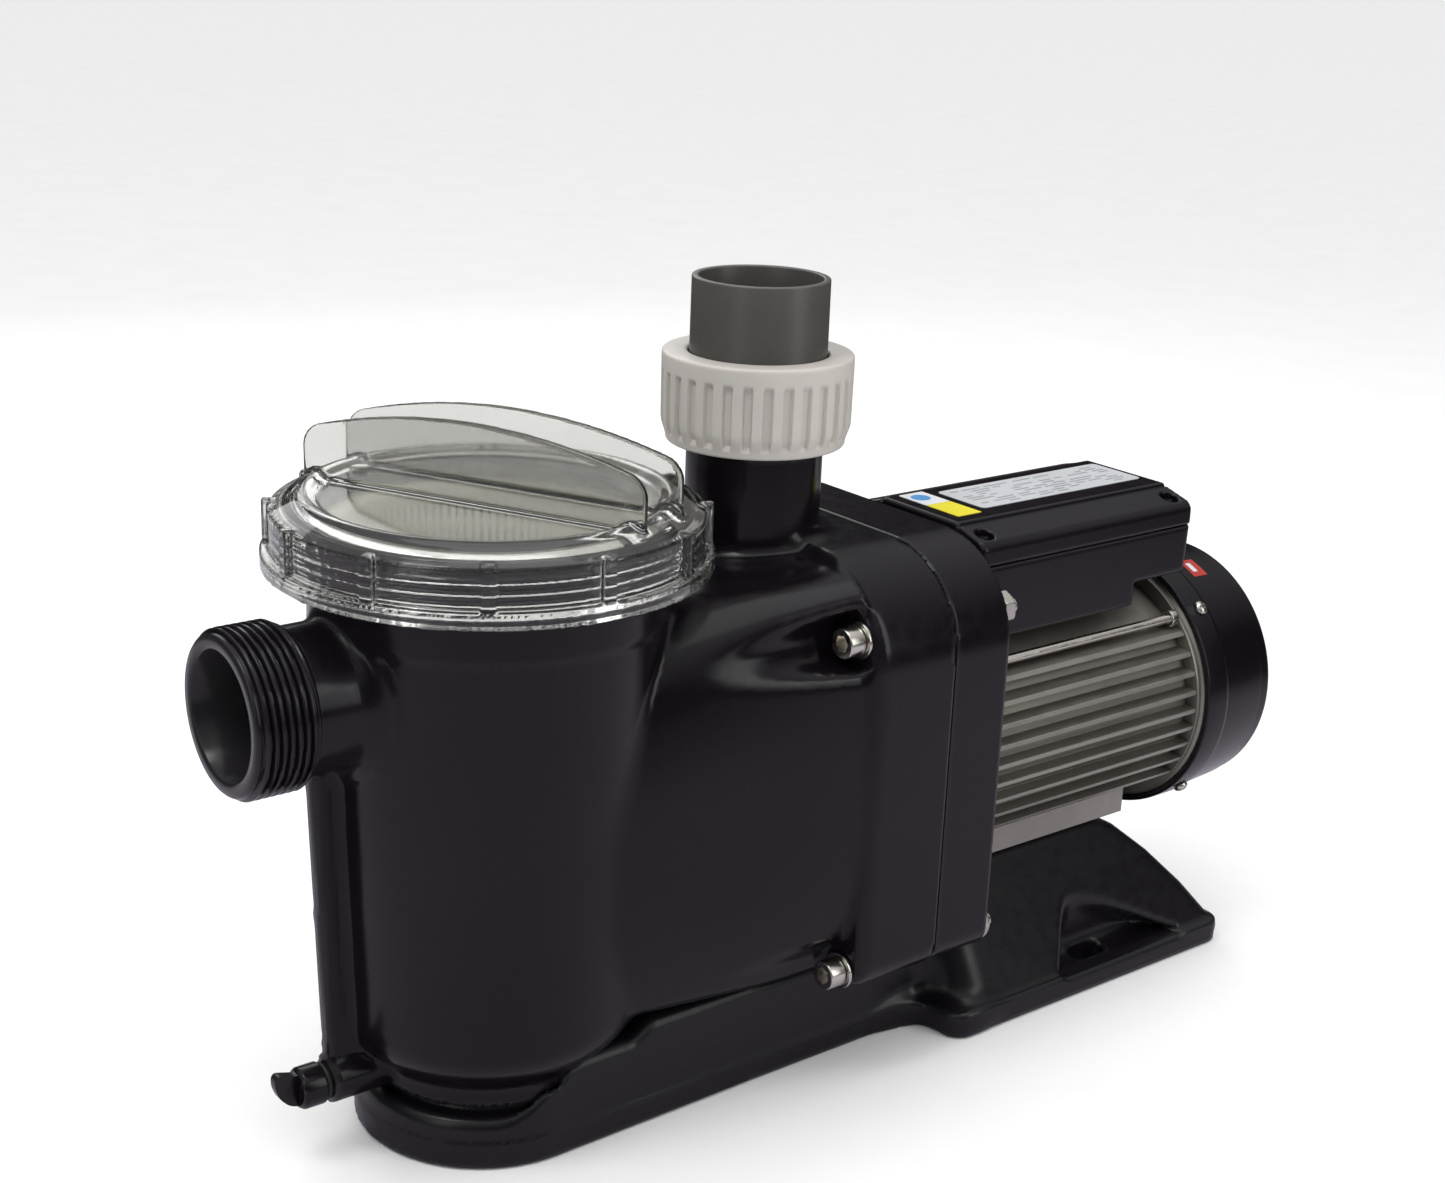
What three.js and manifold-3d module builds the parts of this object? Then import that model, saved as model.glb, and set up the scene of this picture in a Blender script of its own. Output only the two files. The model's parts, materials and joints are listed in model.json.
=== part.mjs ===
// Pool pump: strainer pot, volute, union, finned motor and moulded base.
// Millimetres, +Z up. The origin is on the floor under the strainer axis and
// +X runs along the shaft, from the suction port to the fan cover.
import * as THREE from 'three';
import { mergeVertices } from 'three/addons/utils/BufferGeometryUtils.js';
import Module from 'manifold-3d';

const wasm = await Module();
wasm.setup();

// ---- driving dimensions ----
const GAP = 0.3;
const THROUGH = 2;

const POT = { floor: 25, bottom: 41, top: 262, neckR: 50, lowR: 63.5, midR: 67, highR: 70 };
const COLLAR = { low: 221, r: 71, threadLow: 241, threadR: 79.3 };
const CHAMBER = { r: 61, floor: 47, ledge: 250, ledgeR: 66, sumpR: 43, sumpFloor: 30 };
const RIM_GROOVE = { inner: 70.6, outer: 75.4, floor: 257.9 };

const SUCTION = { z: 198, face: -115.3, boreR: 25, neckR: 29, threadR: 32.85, threadEnd: -90, turns: 8 };
const RIB = { halfWidth: 3.5, topX: -81, bottomX: -75.5, innerX: -58, lowZ: 30, highZ: 180 };
const DRAIN = { z: 34, faceX: -76, bossR: 9.5, boreR: 5, startX: -47 };

const SHAFT = { y: -17, z: 129 };
const EYE = { r: 20, startX: 55, seatR: 24.3, seatX: 96 };
const VOLUTE = { frontX: 104, r: 55 };
const DISCHARGE = { x: 131, neckR: 29, boreR: 25, threadR: 32.85, threadLow: 272, top: 299.2 };

const UNION_GROOVE = { inner: 26.6, outer: 30.4, floor: 296.3 };

const FLANGE = { front: 132, split: 176, rear: 208, half: 84.6, low: 45.4, high: 233.3, topR: 44, lowR: 13 };
const CASING_GROOVE = { inner: 57.4, outer: 62.6, depth: 3.8 };
const BOLT = { y: 73, zs: [54, 204], shankR: 3.9, holeR: 4.6, headR: 6.5, headH: 8, end: 219 };
const HEX = { socketR: 3.4, socketDepth: 4.5, nutR: 7.5, nutH: 6.5, washerR: 8, washerH: 1.6 };
const CHANNEL = { r: 13, x0: 84 };

const NUT = {
  low: 272.3, high: 310.6, r: 40.5, lowR: 38, grooveR: 39.1, gripLow: 280, gripHigh: 305,
  boreR: 33.8, lip: 305.5, lipR: 29.6, ridges: 20,
};
const TAIL = { flangeR: 33, flangeLow: 299.5, flangeHigh: 305.2, r: 29, boreR: 25, top: 341.7 };

const LID = { low: 240.4, flangeTop: 246.8, flangeR: 88.2, skirtR: 84.4, boreR: 80.2, ceiling: 262.5 };
const LID_TOP = { window: 266, windowR: 66, ringR: 72, ringZ: 269, shoulderZ: 262.5, ribs: 12, ribR: 87.2 };
const LID_RIB_ANGLE = 27.9;
const FIN = { offset: 15, thick: 3, half: 76, base: 265, mid: 298, end: 289, turn: -63.2 };

const BASKET = { low: 53, top: 253, rimR: 65.4, rimH: 2.6, highR: 58, lowR: 52, wall: 2.2, slots: 16 };

const MOTOR = { front: 208.3, rear: 347, boreR: 49.5, rootR: 53.4, tipR: 60, finPitch: 8.9, finThick: 2.4 };
const MOTOR_FOOT = { x0: 216, x1: 337, y0: -46, y1: 12, low: 68.3, high: 92 };
const STATOR = { x0: 240, x1: 310, innerR: 32, outerR: 49.2, windingR0: 34, windingR1: 46.5, windingLength: 17 };
const ROTOR = { x0: 242, x1: 308, r: 31.4 };
const TIE = { r: 58.5, rod: 2.2, headR: 4.2, x0: 209, x1: 342, angle: 46 };

const COVER = { front: 350, rear: 405, frontR: 64.7, rearR: 61.5, wall: 2.3, round: 7, slots: 12 };
const COVER_SCREW = { x: 359, headR: 3.6, headH: 2.4, shankR: 2, inner: 54 };

const BOX = {
  x0: 212, x1: 351, y0: -60, y1: 26, low: 182.8, notchX: 314, notchZ: 194.2,
  split: 217.4, top: 233.5, corner: 23,
};
const BOX_WALL = 3;
const BOX_SCREW = { inset: 9, headR: 3.4, headH: 2.5, seat: 224, shankR: 1.8, end: 204, recessR: 4.4 };
const PLATEAU = { y0: -42, y1: 8, shoulderZ: 228 };

const BASE = { noseX: -1, noseR: 55, edge: 12, front: 22, flareX: 190, rearX: 382, rearY: 80.3 };
const SADDLE = { x1: 325, y: 46, top: 68, lowX0: 208.6, lowX1: 380, lowY: 76 };
const BEARER = { x0: 66, x1: 200, y: 53.5 };
const FOOT_POCKET = { x0: 262, x1: 340, y: 55, slotX: 297, slotY: 66, slotR: 4.5, slotHalf: 6 };

const SEGMENTS = { round: 24, bore: 16, small: 12, bolt: 10, corner: 4 };

// ---- colours ----
const BLACK = { color: 0x242329, roughness: 0.5, metalness: 0 };
const CLEAR = { color: 0xc4c8c8, roughness: 0.1, metalness: 0, transparent: true, opacity: 0.4 };
const CREAM = { color: 0xdcd8c8, roughness: 0.5, metalness: 0 };
const OFF_WHITE = { color: 0xd7d0c8, roughness: 0.45, metalness: 0 };
const GREY = { color: 0x5a5a57, roughness: 0.45, metalness: 0 };
const RUBBER = { color: 0x161616, roughness: 0.8, metalness: 0 };
const STEEL = { color: 0xb4b4b0, roughness: 0.3, metalness: 1 };
const ALUMINIUM = { color: 0x96948c, roughness: 0.45, metalness: 1 };
const COPPER = { color: 0xb06a3a, roughness: 0.4, metalness: 1 };
const CERAMIC = { color: 0xe8e4da, roughness: 0.3, metalness: 0 };
const LABEL = { color: 0xdadada, roughness: 0.4, metalness: 0 };

const pump = new THREE.Group();

// ---- solids: closed geometry in, joins and cuts, closed geometry out ----

function weld(geometry) {
  const bare = geometry.index ? geometry.toNonIndexed() : geometry.clone();
  bare.deleteAttribute('normal');
  bare.deleteAttribute('uv');
  const merged = mergeVertices(bare, 1e-4);
  const kept = [];
  const index = merged.index.array;
  for (let i = 0; i < index.length; i += 3) {
    const [a, b, c] = [index[i], index[i + 1], index[i + 2]];
    if (a !== b && b !== c && c !== a) kept.push(a, b, c);
  }
  merged.setIndex(kept);
  return merged;
}

function solid(geometry) {
  const welded = weld(geometry);
  return new wasm.Manifold(new wasm.Mesh({
    numProp: 3,
    vertProperties: new Float32Array(welded.attributes.position.array),
    triVerts: new Uint32Array(welded.index.array),
  }));
}

function toGeometry(shape) {
  const mesh = shape.getMesh();
  const geometry = new THREE.BufferGeometry();
  geometry.setAttribute('position', new THREE.BufferAttribute(mesh.vertProperties, 3));
  geometry.setIndex(new THREE.BufferAttribute(mesh.triVerts, 1));
  geometry.computeVertexNormals();
  return geometry;
}

function join(first, ...others) {
  return others.reduce((sum, other) => sum.add(other), first);
}

function cut(first, ...others) {
  return others.reduce((rest, other) => rest.subtract(other), first);
}

function add(name, shape, look) {
  const mesh = new THREE.Mesh(toGeometry(shape), new THREE.MeshStandardMaterial(look));
  mesh.name = name;
  pump.add(mesh);
}

// ---- shapes ----

// Revolved profile of [radius, height] pairs about +Z, standing at x, y.
function turned(profile, x = 0, y = 0, segments = SEGMENTS.round) {
  const points = profile.map(([r, z]) => new THREE.Vector2(r, z));
  const geometry = new THREE.LatheGeometry(points, segments);
  geometry.rotateX(Math.PI / 2);
  geometry.translate(x, y, 0);
  return solid(geometry);
}

// Revolved profile of [radius, x] pairs about the line along +X through y, z.
function turnedX(profile, y, z, segments = SEGMENTS.round) {
  const points = profile.map(([r, x]) => new THREE.Vector2(r, x));
  const geometry = new THREE.LatheGeometry(points, segments);
  geometry.rotateZ(-Math.PI / 2);
  geometry.translate(0, y, z);
  return solid(geometry);
}

function rod(r, x0, x1, y, z, segments = SEGMENTS.small) {
  return turnedX([[0, x0], [r, x0], [r, x1], [0, x1]], y, z, segments);
}

function post(r, z0, z1, x, y, segments = SEGMENTS.small) {
  return turned([[0, z0], [r, z0], [r, z1], [0, z1]], x, y, segments);
}

function ringX(inner, outer, x0, x1, y, z, segments = SEGMENTS.round) {
  const profile = [[inner, x0], [outer, x0], [outer, x1], [inner, x1], [inner, x0]];
  return turnedX(profile, y, z, segments);
}

function ringZ(inner, outer, z0, z1, x = 0, y = 0, segments = SEGMENTS.round) {
  const profile = [[inner, z0], [outer, z0], [outer, z1], [inner, z1], [inner, z0]];
  return turned(profile, x, y, segments);
}

function block(x0, x1, y0, y1, z0, z1) {
  const geometry = new THREE.BoxGeometry(x1 - x0, y1 - y0, z1 - z0);
  geometry.translate((x0 + x1) / 2, (y0 + y1) / 2, (z0 + z1) / 2);
  return solid(geometry);
}

// O-ring of a given cord radius, about +Z or about +X.
function oRing(major, minor, x, y, z, aboutX = false) {
  const geometry = new THREE.TorusGeometry(major, minor, 6, SEGMENTS.round);
  if (aboutX) geometry.rotateY(Math.PI / 2);
  geometry.translate(x, y, z);
  return solid(geometry);
}

// Extruded outline of [x, y] pairs, from z0 to z1.
function plate(outline, z0, z1) {
  const shape = new THREE.Shape(outline.map(([x, y]) => new THREE.Vector2(x, y)));
  const geometry = new THREE.ExtrudeGeometry(shape, { depth: z1 - z0, bevelEnabled: false });
  geometry.translate(0, 0, z0);
  return solid(geometry);
}

// Extruded outline of [y, z] pairs, from x0 to x1.
function slab(outline, x0, x1) {
  const shape = new THREE.Shape(outline.map(([y, z]) => new THREE.Vector2(y, z)));
  const geometry = new THREE.ExtrudeGeometry(shape, { depth: x1 - x0, bevelEnabled: false });
  geometry.applyMatrix4(new THREE.Matrix4().set(0, 0, 1, x0, 1, 0, 0, 0, 0, 1, 0, 0, 0, 0, 0, 1));
  return solid(geometry);
}

// Closed skin over rings of equal length, with a fan over each end.
function loft(rings) {
  const count = rings[0].length;
  const vertices = rings.flat();
  const faces = [];
  for (let r = 0; r + 1 < rings.length; r += 1) {
    for (let i = 0; i < count; i += 1) {
      const j = (i + 1) % count;
      const [a, b, c, d] = [r * count + i, r * count + j, (r + 1) * count + i, (r + 1) * count + j];
      faces.push(a, b, d, a, d, c);
    }
  }
  const last = (rings.length - 1) * count;
  for (let i = 1; i + 1 < count; i += 1) {
    faces.push(0, i + 1, i);
    faces.push(last, last + i, last + i + 1);
  }
  const geometry = new THREE.BufferGeometry();
  geometry.setAttribute('position', new THREE.Float32BufferAttribute(vertices.flat(), 3));
  geometry.setIndex(faces);
  return solid(geometry);
}

// Rounded rectangle of [y, z] pairs with its own top and bottom corner radii.
function roundedOutline(half, low, high, topR, lowR) {
  const corners = [
    [half - lowR, low + lowR, lowR, -90],
    [half - topR, high - topR, topR, 0],
    [-half + topR, high - topR, topR, 90],
    [-half + lowR, low + lowR, lowR, 180],
  ];
  return corners.flatMap(([y, z, r, start]) => {
    const arc = [];
    for (let i = 0; i <= SEGMENTS.corner; i += 1) {
      const angle = THREE.MathUtils.degToRad(start + (90 * i) / SEGMENTS.corner);
      arc.push([y + r * Math.cos(angle), z + r * Math.sin(angle)]);
    }
    return arc;
  });
}

function sectionAt(x, outline) {
  return outline.map(([y, z]) => [x, y, z]);
}

function polar(r, degrees) {
  const angle = THREE.MathUtils.degToRad(degrees);
  return [r * Math.cos(angle), r * Math.sin(angle)];
}

function turnAboutZ(shape, degrees) {
  return shape.rotate([0, 0, degrees]);
}

// Turns a shape about the shaft line.
function turnAboutShaft(shape, degrees) {
  const centred = shape.translate([0, -SHAFT.y, -SHAFT.z]);
  return centred.rotate([degrees, 0, 0]).translate([0, SHAFT.y, SHAFT.z]);
}

function flangeOutline() {
  return roundedOutline(FLANGE.half, FLANGE.low, FLANGE.high, FLANGE.topR, FLANGE.lowR);
}

function boltPlaces() {
  return BOLT.zs.flatMap((z) => [[-BOLT.y, z], [BOLT.y, z]]);
}

function boltHoles(x0, x1) {
  return boltPlaces().map(([y, z]) => rod(BOLT.holeR, x0, x1, y, z));
}

// Ring-shaped thread crests between two heights, as [radius, height] pairs.
function threadProfile(crest, root, start, pitch, turns) {
  const points = [];
  for (let i = 0; i < turns; i += 1) {
    points.push([root, start + i * pitch], [crest, start + (i + 0.5) * pitch]);
  }
  return points;
}

// ---- pump housing ----

function potOuter() {
  return turned([
    [0, POT.floor], [POT.neckR, POT.floor], [POT.neckR, 36], [57, POT.bottom], [POT.lowR, 47],
    [POT.midR, 125], [POT.highR, COLLAR.low], [COLLAR.r, COLLAR.low + 1], [COLLAR.r, 236],
    [COLLAR.threadR, COLLAR.threadLow], [COLLAR.threadR, POT.top], [0, POT.top],
  ]);
}

function voluteOuter() {
  const sections = [
    [8, 60, 49.5, 216, 34, 30],
    [40, 67, 48.5, 221, 36, 30],
    [75, 72.5, 48, 225, 38, 28],
    [105, 77.5, 47.5, 227.5, 42, 26],
    [FLANGE.front + 1, 82, 47, 229.5, 45, 24],
  ];
  return loft(sections.map(([x, half, low, high, topR, lowR]) => (
    sectionAt(x, roundedOutline(half, low, high, topR, lowR)))));
}

function flangeFront() {
  const edge = roundedOutline(FLANGE.half - 4, FLANGE.low + 4, FLANGE.high - 4, FLANGE.topR - 4, FLANGE.lowR - 4);
  return loft([
    sectionAt(FLANGE.front, edge),
    sectionAt(FLANGE.front + 4, flangeOutline()),
    sectionAt(FLANGE.split, flangeOutline()),
  ]);
}

function suctionOuter() {
  const pitch = (SUCTION.threadEnd - SUCTION.face - 2) / SUCTION.turns;
  const thread = threadProfile(SUCTION.threadR, SUCTION.threadR - 1.3, SUCTION.face + 2, pitch, SUCTION.turns);
  const crest = SUCTION.threadR - 1.3;
  return turnedX([
    [0, SUCTION.face], [crest, SUCTION.face], ...thread,
    [SUCTION.neckR, SUCTION.threadEnd + 1], [SUCTION.neckR, -40], [0, -40],
  ], 0, SUCTION.z);
}

function frontRib() {
  const side = [
    [RIB.innerX, RIB.lowZ], [RIB.innerX, RIB.highZ], [RIB.topX, RIB.highZ], [RIB.bottomX, RIB.lowZ],
  ];
  const ring = (y) => side.map(([x, z]) => [x, y, z]);
  return loft([ring(RIB.halfWidth), ring(-RIB.halfWidth)]);
}

function dischargeOuter() {
  const { neckR, threadR, threadLow, top, x } = DISCHARGE;
  return turned([
    [0, 190], [neckR + 6, 190], [neckR + 4, 229], [neckR, 236], [neckR, threadLow - 1],
    [threadR, threadLow], [threadR, top], [0, top],
  ], x, 0);
}

function pumpHousing() {
  const outer = join(
    voluteOuter(), potOuter(), flangeFront(), suctionOuter(), frontRib(), dischargeOuter(),
    rod(DRAIN.bossR, DRAIN.faceX, DRAIN.startX, 0, DRAIN.z),
  );
  const potBore = turned([
    [0, CHAMBER.sumpFloor], [CHAMBER.sumpR, CHAMBER.sumpFloor], [CHAMBER.sumpR, CHAMBER.floor - 5],
    [CHAMBER.r - 6, CHAMBER.floor], [CHAMBER.r - 2, CHAMBER.floor + 8], [CHAMBER.r, CHAMBER.ledge],
    [CHAMBER.ledgeR, CHAMBER.ledge], [CHAMBER.ledgeR, POT.top + THROUGH], [0, POT.top + THROUGH],
  ]);
  const channels = boltPlaces().map(([y, z]) => (
    rod(CHANNEL.r, CHANNEL.x0, FLANGE.front - GAP, y, z, SEGMENTS.round)));
  return cut(
    outer, potBore, ...channels, ...boltHoles(FLANGE.front - 5, FLANGE.split + THROUGH),
    ringZ(RIM_GROOVE.inner, RIM_GROOVE.outer, RIM_GROOVE.floor, POT.top + THROUGH),
    rod(SUCTION.boreR, SUCTION.face - THROUGH, -40, 0, SUCTION.z, SEGMENTS.bore),
    rod(DRAIN.boreR, DRAIN.faceX - THROUGH, -38, 0, DRAIN.z),
    rod(EYE.r, EYE.startX, VOLUTE.frontX + 1, SHAFT.y, SHAFT.z, SEGMENTS.bore),
    rod(EYE.seatR, EYE.seatX, VOLUTE.frontX + 1, SHAFT.y, SHAFT.z, SEGMENTS.round),
    rod(VOLUTE.r, VOLUTE.frontX, FLANGE.split + THROUGH, SHAFT.y, SHAFT.z, SEGMENTS.round),
    post(DISCHARGE.boreR, 165, DISCHARGE.top + THROUGH, DISCHARGE.x, 0, SEGMENTS.bore),
    ringX(CASING_GROOVE.inner, CASING_GROOVE.outer, FLANGE.split - CASING_GROOVE.depth,
      FLANGE.split + THROUGH, SHAFT.y, SHAFT.z),
    ringZ(UNION_GROOVE.inner, UNION_GROOVE.outer, UNION_GROOVE.floor, DISCHARGE.top + THROUGH, DISCHARGE.x, 0),
  );
}

// ---- strainer ----

function lidShell() {
  return turned([
    [0, LID.ceiling], [LID.boreR, LID.ceiling], [LID.boreR, LID.low], [LID.flangeR, LID.low],
    [LID.flangeR, LID.flangeTop], [LID.skirtR, LID.flangeTop + 0.6], [LID.skirtR, LID_TOP.shoulderZ],
    [LID_TOP.ringR + 2, LID_TOP.ringZ - 1], [LID_TOP.ringR, LID_TOP.ringZ],
    [LID_TOP.ringR - 3, LID_TOP.ringZ], [LID_TOP.windowR, LID_TOP.window], [0, LID_TOP.window],
  ], 0, 0, 36);
}

function lidFin(offset) {
  const shape = new THREE.Shape();
  shape.moveTo(-FIN.half, FIN.base);
  shape.lineTo(FIN.half, FIN.base);
  shape.quadraticCurveTo(FIN.half, FIN.end - 3, FIN.half - 10, FIN.end);
  shape.quadraticCurveTo(0, 2 * FIN.mid - FIN.end, -FIN.half + 10, FIN.end);
  shape.quadraticCurveTo(-FIN.half, FIN.end - 3, -FIN.half, FIN.base);
  const geometry = new THREE.ExtrudeGeometry(shape, { depth: FIN.thick, bevelEnabled: false, curveSegments: 6 });
  geometry.rotateX(Math.PI / 2);
  geometry.translate(0, offset + FIN.thick / 2, 0);
  geometry.rotateZ(THREE.MathUtils.degToRad(FIN.turn));
  return solid(geometry);
}

function strainerLid() {
  const rib = block(LID.skirtR - 2, LID_TOP.ribR, -2.2, 2.2, LID.flangeTop - 1, LID_TOP.shoulderZ - 1);
  const step = 360 / LID_TOP.ribs;
  const ribs = Array.from({ length: LID_TOP.ribs }, (_, i) => turnAboutZ(rib, LID_RIB_ANGLE + i * step));
  return join(lidShell(), ...ribs, lidFin(-FIN.offset), lidFin(FIN.offset));
}

function strainerBasket() {
  const { low, top, rimR, rimH, highR, lowR, wall, slots } = BASKET;
  const shell = turned([
    [0, low], [lowR, low], [highR, top - rimH], [rimR, top - rimH], [rimR, top],
    [highR - wall, top], [lowR - wall, low + wall], [0, low + wall],
  ]);
  const slot = block(highR - 14, highR + 4, -3.6, 3.6, low + 22, top - 26);
  const cuts = Array.from({ length: slots }, (_, i) => turnAboutZ(slot, (i + 0.5) * (360 / slots)));
  const inlet = rod(22, -highR - 5, -30, 0, SUCTION.z, 24);
  return cut(shell, ...cuts, inlet);
}

function drainPlug() {
  const shank = turnedX([
    [0, -89], [7, -89], [8.6, -87.4], [8.6, DRAIN.faceX - 3],
    [DRAIN.boreR - GAP, DRAIN.faceX - 3], [DRAIN.boreR - GAP, -58], [0, -58],
  ], 0, DRAIN.z, SEGMENTS.small);
  const leaf = [[-97.5, 43.6], [-99, 42], [-99, 38], [-97, 33], [-93, 28.6], [-88, 26.7], [-82, 27.3], [-82, 40.9]];
  const ring = (y) => leaf.map(([x, z]) => [x, y, z]);
  return join(shank, loft([ring(2), ring(-2)]));
}

// ---- union ----

// Outline of the nut's grip: a raised ridge and a groove, turn about.
function gripOutline() {
  const step = 360 / NUT.ridges;
  return Array.from({ length: NUT.ridges }, (_, i) => [
    polar(NUT.grooveR, i * step), polar(NUT.r, (i + 0.2) * step),
    polar(NUT.r, (i + 0.5) * step), polar(NUT.grooveR, (i + 0.7) * step),
  ]).flat();
}

function unionNut() {
  const foot = turned([
    [0, NUT.low], [NUT.lowR - 1, NUT.low], [NUT.lowR, NUT.low + 3], [NUT.grooveR, NUT.gripLow], [0, NUT.gripLow],
  ]);
  const rim = turned([
    [0, NUT.gripHigh], [NUT.r, NUT.gripHigh], [NUT.r, NUT.high - 1.5], [NUT.r - 1.5, NUT.high], [0, NUT.high],
  ]);
  const body = join(foot, plate(gripOutline(), NUT.gripLow, NUT.gripHigh), rim);
  const bored = cut(body, post(NUT.boreR, NUT.low - 1, NUT.lip, 0, 0, SEGMENTS.round),
    post(NUT.lipR, NUT.low - 1, NUT.high + 1, 0, 0, SEGMENTS.round));
  return bored.translate([DISCHARGE.x, 0, 0]);
}

function unionTail() {
  return turned([
    [TAIL.boreR, TAIL.flangeLow], [TAIL.flangeR, TAIL.flangeLow], [TAIL.flangeR, TAIL.flangeHigh],
    [TAIL.r, TAIL.flangeHigh], [TAIL.r, TAIL.top], [TAIL.boreR + 1, TAIL.top],
    [TAIL.boreR, TAIL.top - 2], [TAIL.boreR, TAIL.flangeLow],
  ], DISCHARGE.x, 0);
}

// ---- hydraulics and shaft seal ----

function diffuser() {
  const shell = turnedX([
    [18, EYE.seatX + GAP], [EYE.seatR - GAP, EYE.seatX + GAP], [EYE.seatR - GAP, VOLUTE.frontX + GAP],
    [50, VOLUTE.frontX + GAP], [50, VOLUTE.frontX + 4], [49, VOLUTE.frontX + 5], [49, 150], [47, 150],
    [47, VOLUTE.frontX + 6], [18, VOLUTE.frontX + 6], [18, EYE.seatX + GAP],
  ], SHAFT.y, SHAFT.z);
  const window = block(122, 147, SHAFT.y - 6, SHAFT.y + 6, SHAFT.z + 40, SHAFT.z + 54);
  const windows = Array.from({ length: 8 }, (_, i) => turnAboutShaft(window, 22.5 + i * 45));
  return cut(shell, ...windows);
}

function impeller() {
  const back = ringX(6.6, 45, 147, 150, SHAFT.y, SHAFT.z);
  const hub = ringX(6.6, 11, 128, 153, SHAFT.y, SHAFT.z, SEGMENTS.bore);
  const front = turnedX([
    [17, 114], [20, 114], [20, 131], [45, 136], [45, 138.5], [17, 134.5], [17, 114],
  ], SHAFT.y, SHAFT.z);
  const vane = block(134, 148, SHAFT.y - 1.2, SHAFT.y + 1.2, SHAFT.z + 19, SHAFT.z + 43);
  const vanes = Array.from({ length: 6 }, (_, i) => turnAboutShaft(vane, i * 60));
  return join(back, hub, front, ...vanes);
}

function motorShaft() {
  return turnedX([
    [0, 126], [6.3, 126], [6.3, 183], [8.3, 184], [8.3, 210], [10, 211], [10, 335], [7.2, 336],
    [7.2, 352], [6, 353], [6, 390], [0, 390],
  ], SHAFT.y, SHAFT.z, 24);
}

function sealPlate() {
  const body = slab(flangeOutline(), FLANGE.split + GAP, FLANGE.rear);
  return cut(
    body, ...boltHoles(FLANGE.split - 1, FLANGE.rear + 1),
    rod(9.5, FLANGE.split - 1, FLANGE.rear + 1, SHAFT.y, SHAFT.z, SEGMENTS.small),
    rod(16.5, FLANGE.split - 1, 186, SHAFT.y, SHAFT.z, SEGMENTS.bore),
    rod(52, 191.5, FLANGE.rear + 1, SHAFT.y, SHAFT.z, SEGMENTS.round),
  );
}

// ---- motor ----

function frontBracket() {
  return turnedX([
    [9.5, 192], [51.5, 192], [51.5, 207.9], [49.2, 207.9], [49.2, 214], [45, 214], [45, 199],
    [26, 199], [26, 210], [20.3, 210], [20.3, 195.7], [9.5, 195.7], [9.5, 192],
  ], SHAFT.y, SHAFT.z);
}

function rearBracket() {
  const bell = turnedX([
    [8, 351], [8, 349.6], [17.9, 349.6], [17.9, 336], [23, 336], [23, 347.3], [44, 347.3], [44, 338],
    [49.2, 338], [49.2, 347.3], [60, 347.3], [60, 349.7], [61.6, 350.5], [61.6, 366], [52, 366],
    [52, 351], [8, 351],
  ], SHAFT.y, SHAFT.z);
  const hole = post(COVER_SCREW.shankR + GAP, SHAFT.z + 48, SHAFT.z + 70, COVER_SCREW.x, SHAFT.y, 8);
  return cut(bell, ...screwAngles().map((angle) => turnAboutShaft(hole, angle)));
}

function screwAngles() {
  return [45, 135, 225, 315];
}

// Finned outline about the shaft line: level fins on both sides, plain above and below.
function finOutline() {
  const { rootR, tipR, finPitch, finThick } = MOTOR;
  const heights = Array.from({ length: 9 }, (_, i) => 36 - i * finPitch);
  const side = [];
  for (const h of heights) {
    const [upper, lower] = [h + finThick / 2, h - finThick / 2];
    const across = (r, level) => Math.sqrt(r * r - level * level);
    side.push([across(rootR, upper), upper], [across(tipR, upper), upper]);
    side.push([across(tipR, lower), lower], [across(rootR, lower), lower]);
  }
  const crown = [];
  for (let angle = 50; angle <= 130; angle += 10) crown.push(polar(rootR, angle));
  const belly = [];
  for (let angle = 235; angle <= 305; angle += 10) belly.push(polar(rootR, angle));
  const right = [...side].reverse();
  const left = side.map(([y, z]) => [-y, z]);
  return [...right, ...crown, ...left, ...belly];
}

function motorHousing() {
  const outline = finOutline().map(([y, z]) => [y + SHAFT.y, z + SHAFT.z]);
  const body = slab(outline, MOTOR.front, MOTOR.rear);
  const foot = block(MOTOR_FOOT.x0, MOTOR_FOOT.x1, MOTOR_FOOT.y0, MOTOR_FOOT.y1, MOTOR_FOOT.low, MOTOR_FOOT.high);
  const bore = rod(MOTOR.boreR, MOTOR.front - THROUGH, MOTOR.rear + THROUGH, SHAFT.y, SHAFT.z, SEGMENTS.round);
  return cut(join(body, foot), bore);
}

function tieBolt(angle) {
  const [y, z] = polar(TIE.r, angle);
  const place = [SHAFT.y + y, SHAFT.z + z];
  return join(rod(TIE.rod, TIE.x0, TIE.x1, ...place, 12), rod(TIE.headR, TIE.x1 - 0.5, TIE.x1 + 4, ...place, 12));
}

function coolingFan() {
  const hub = ringX(6.3, 12, 368, 388, SHAFT.y, SHAFT.z, 24);
  const disc = ringX(6.3, 46, 370, 372.5, SHAFT.y, SHAFT.z, SEGMENTS.round);
  const blade = block(371, 391, SHAFT.y - 1, SHAFT.y + 1, SHAFT.z + 11, SHAFT.z + 54);
  const blades = Array.from({ length: 7 }, (_, i) => turnAboutShaft(blade, (i * 360) / 7));
  return join(hub, disc, ...blades);
}

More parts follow.
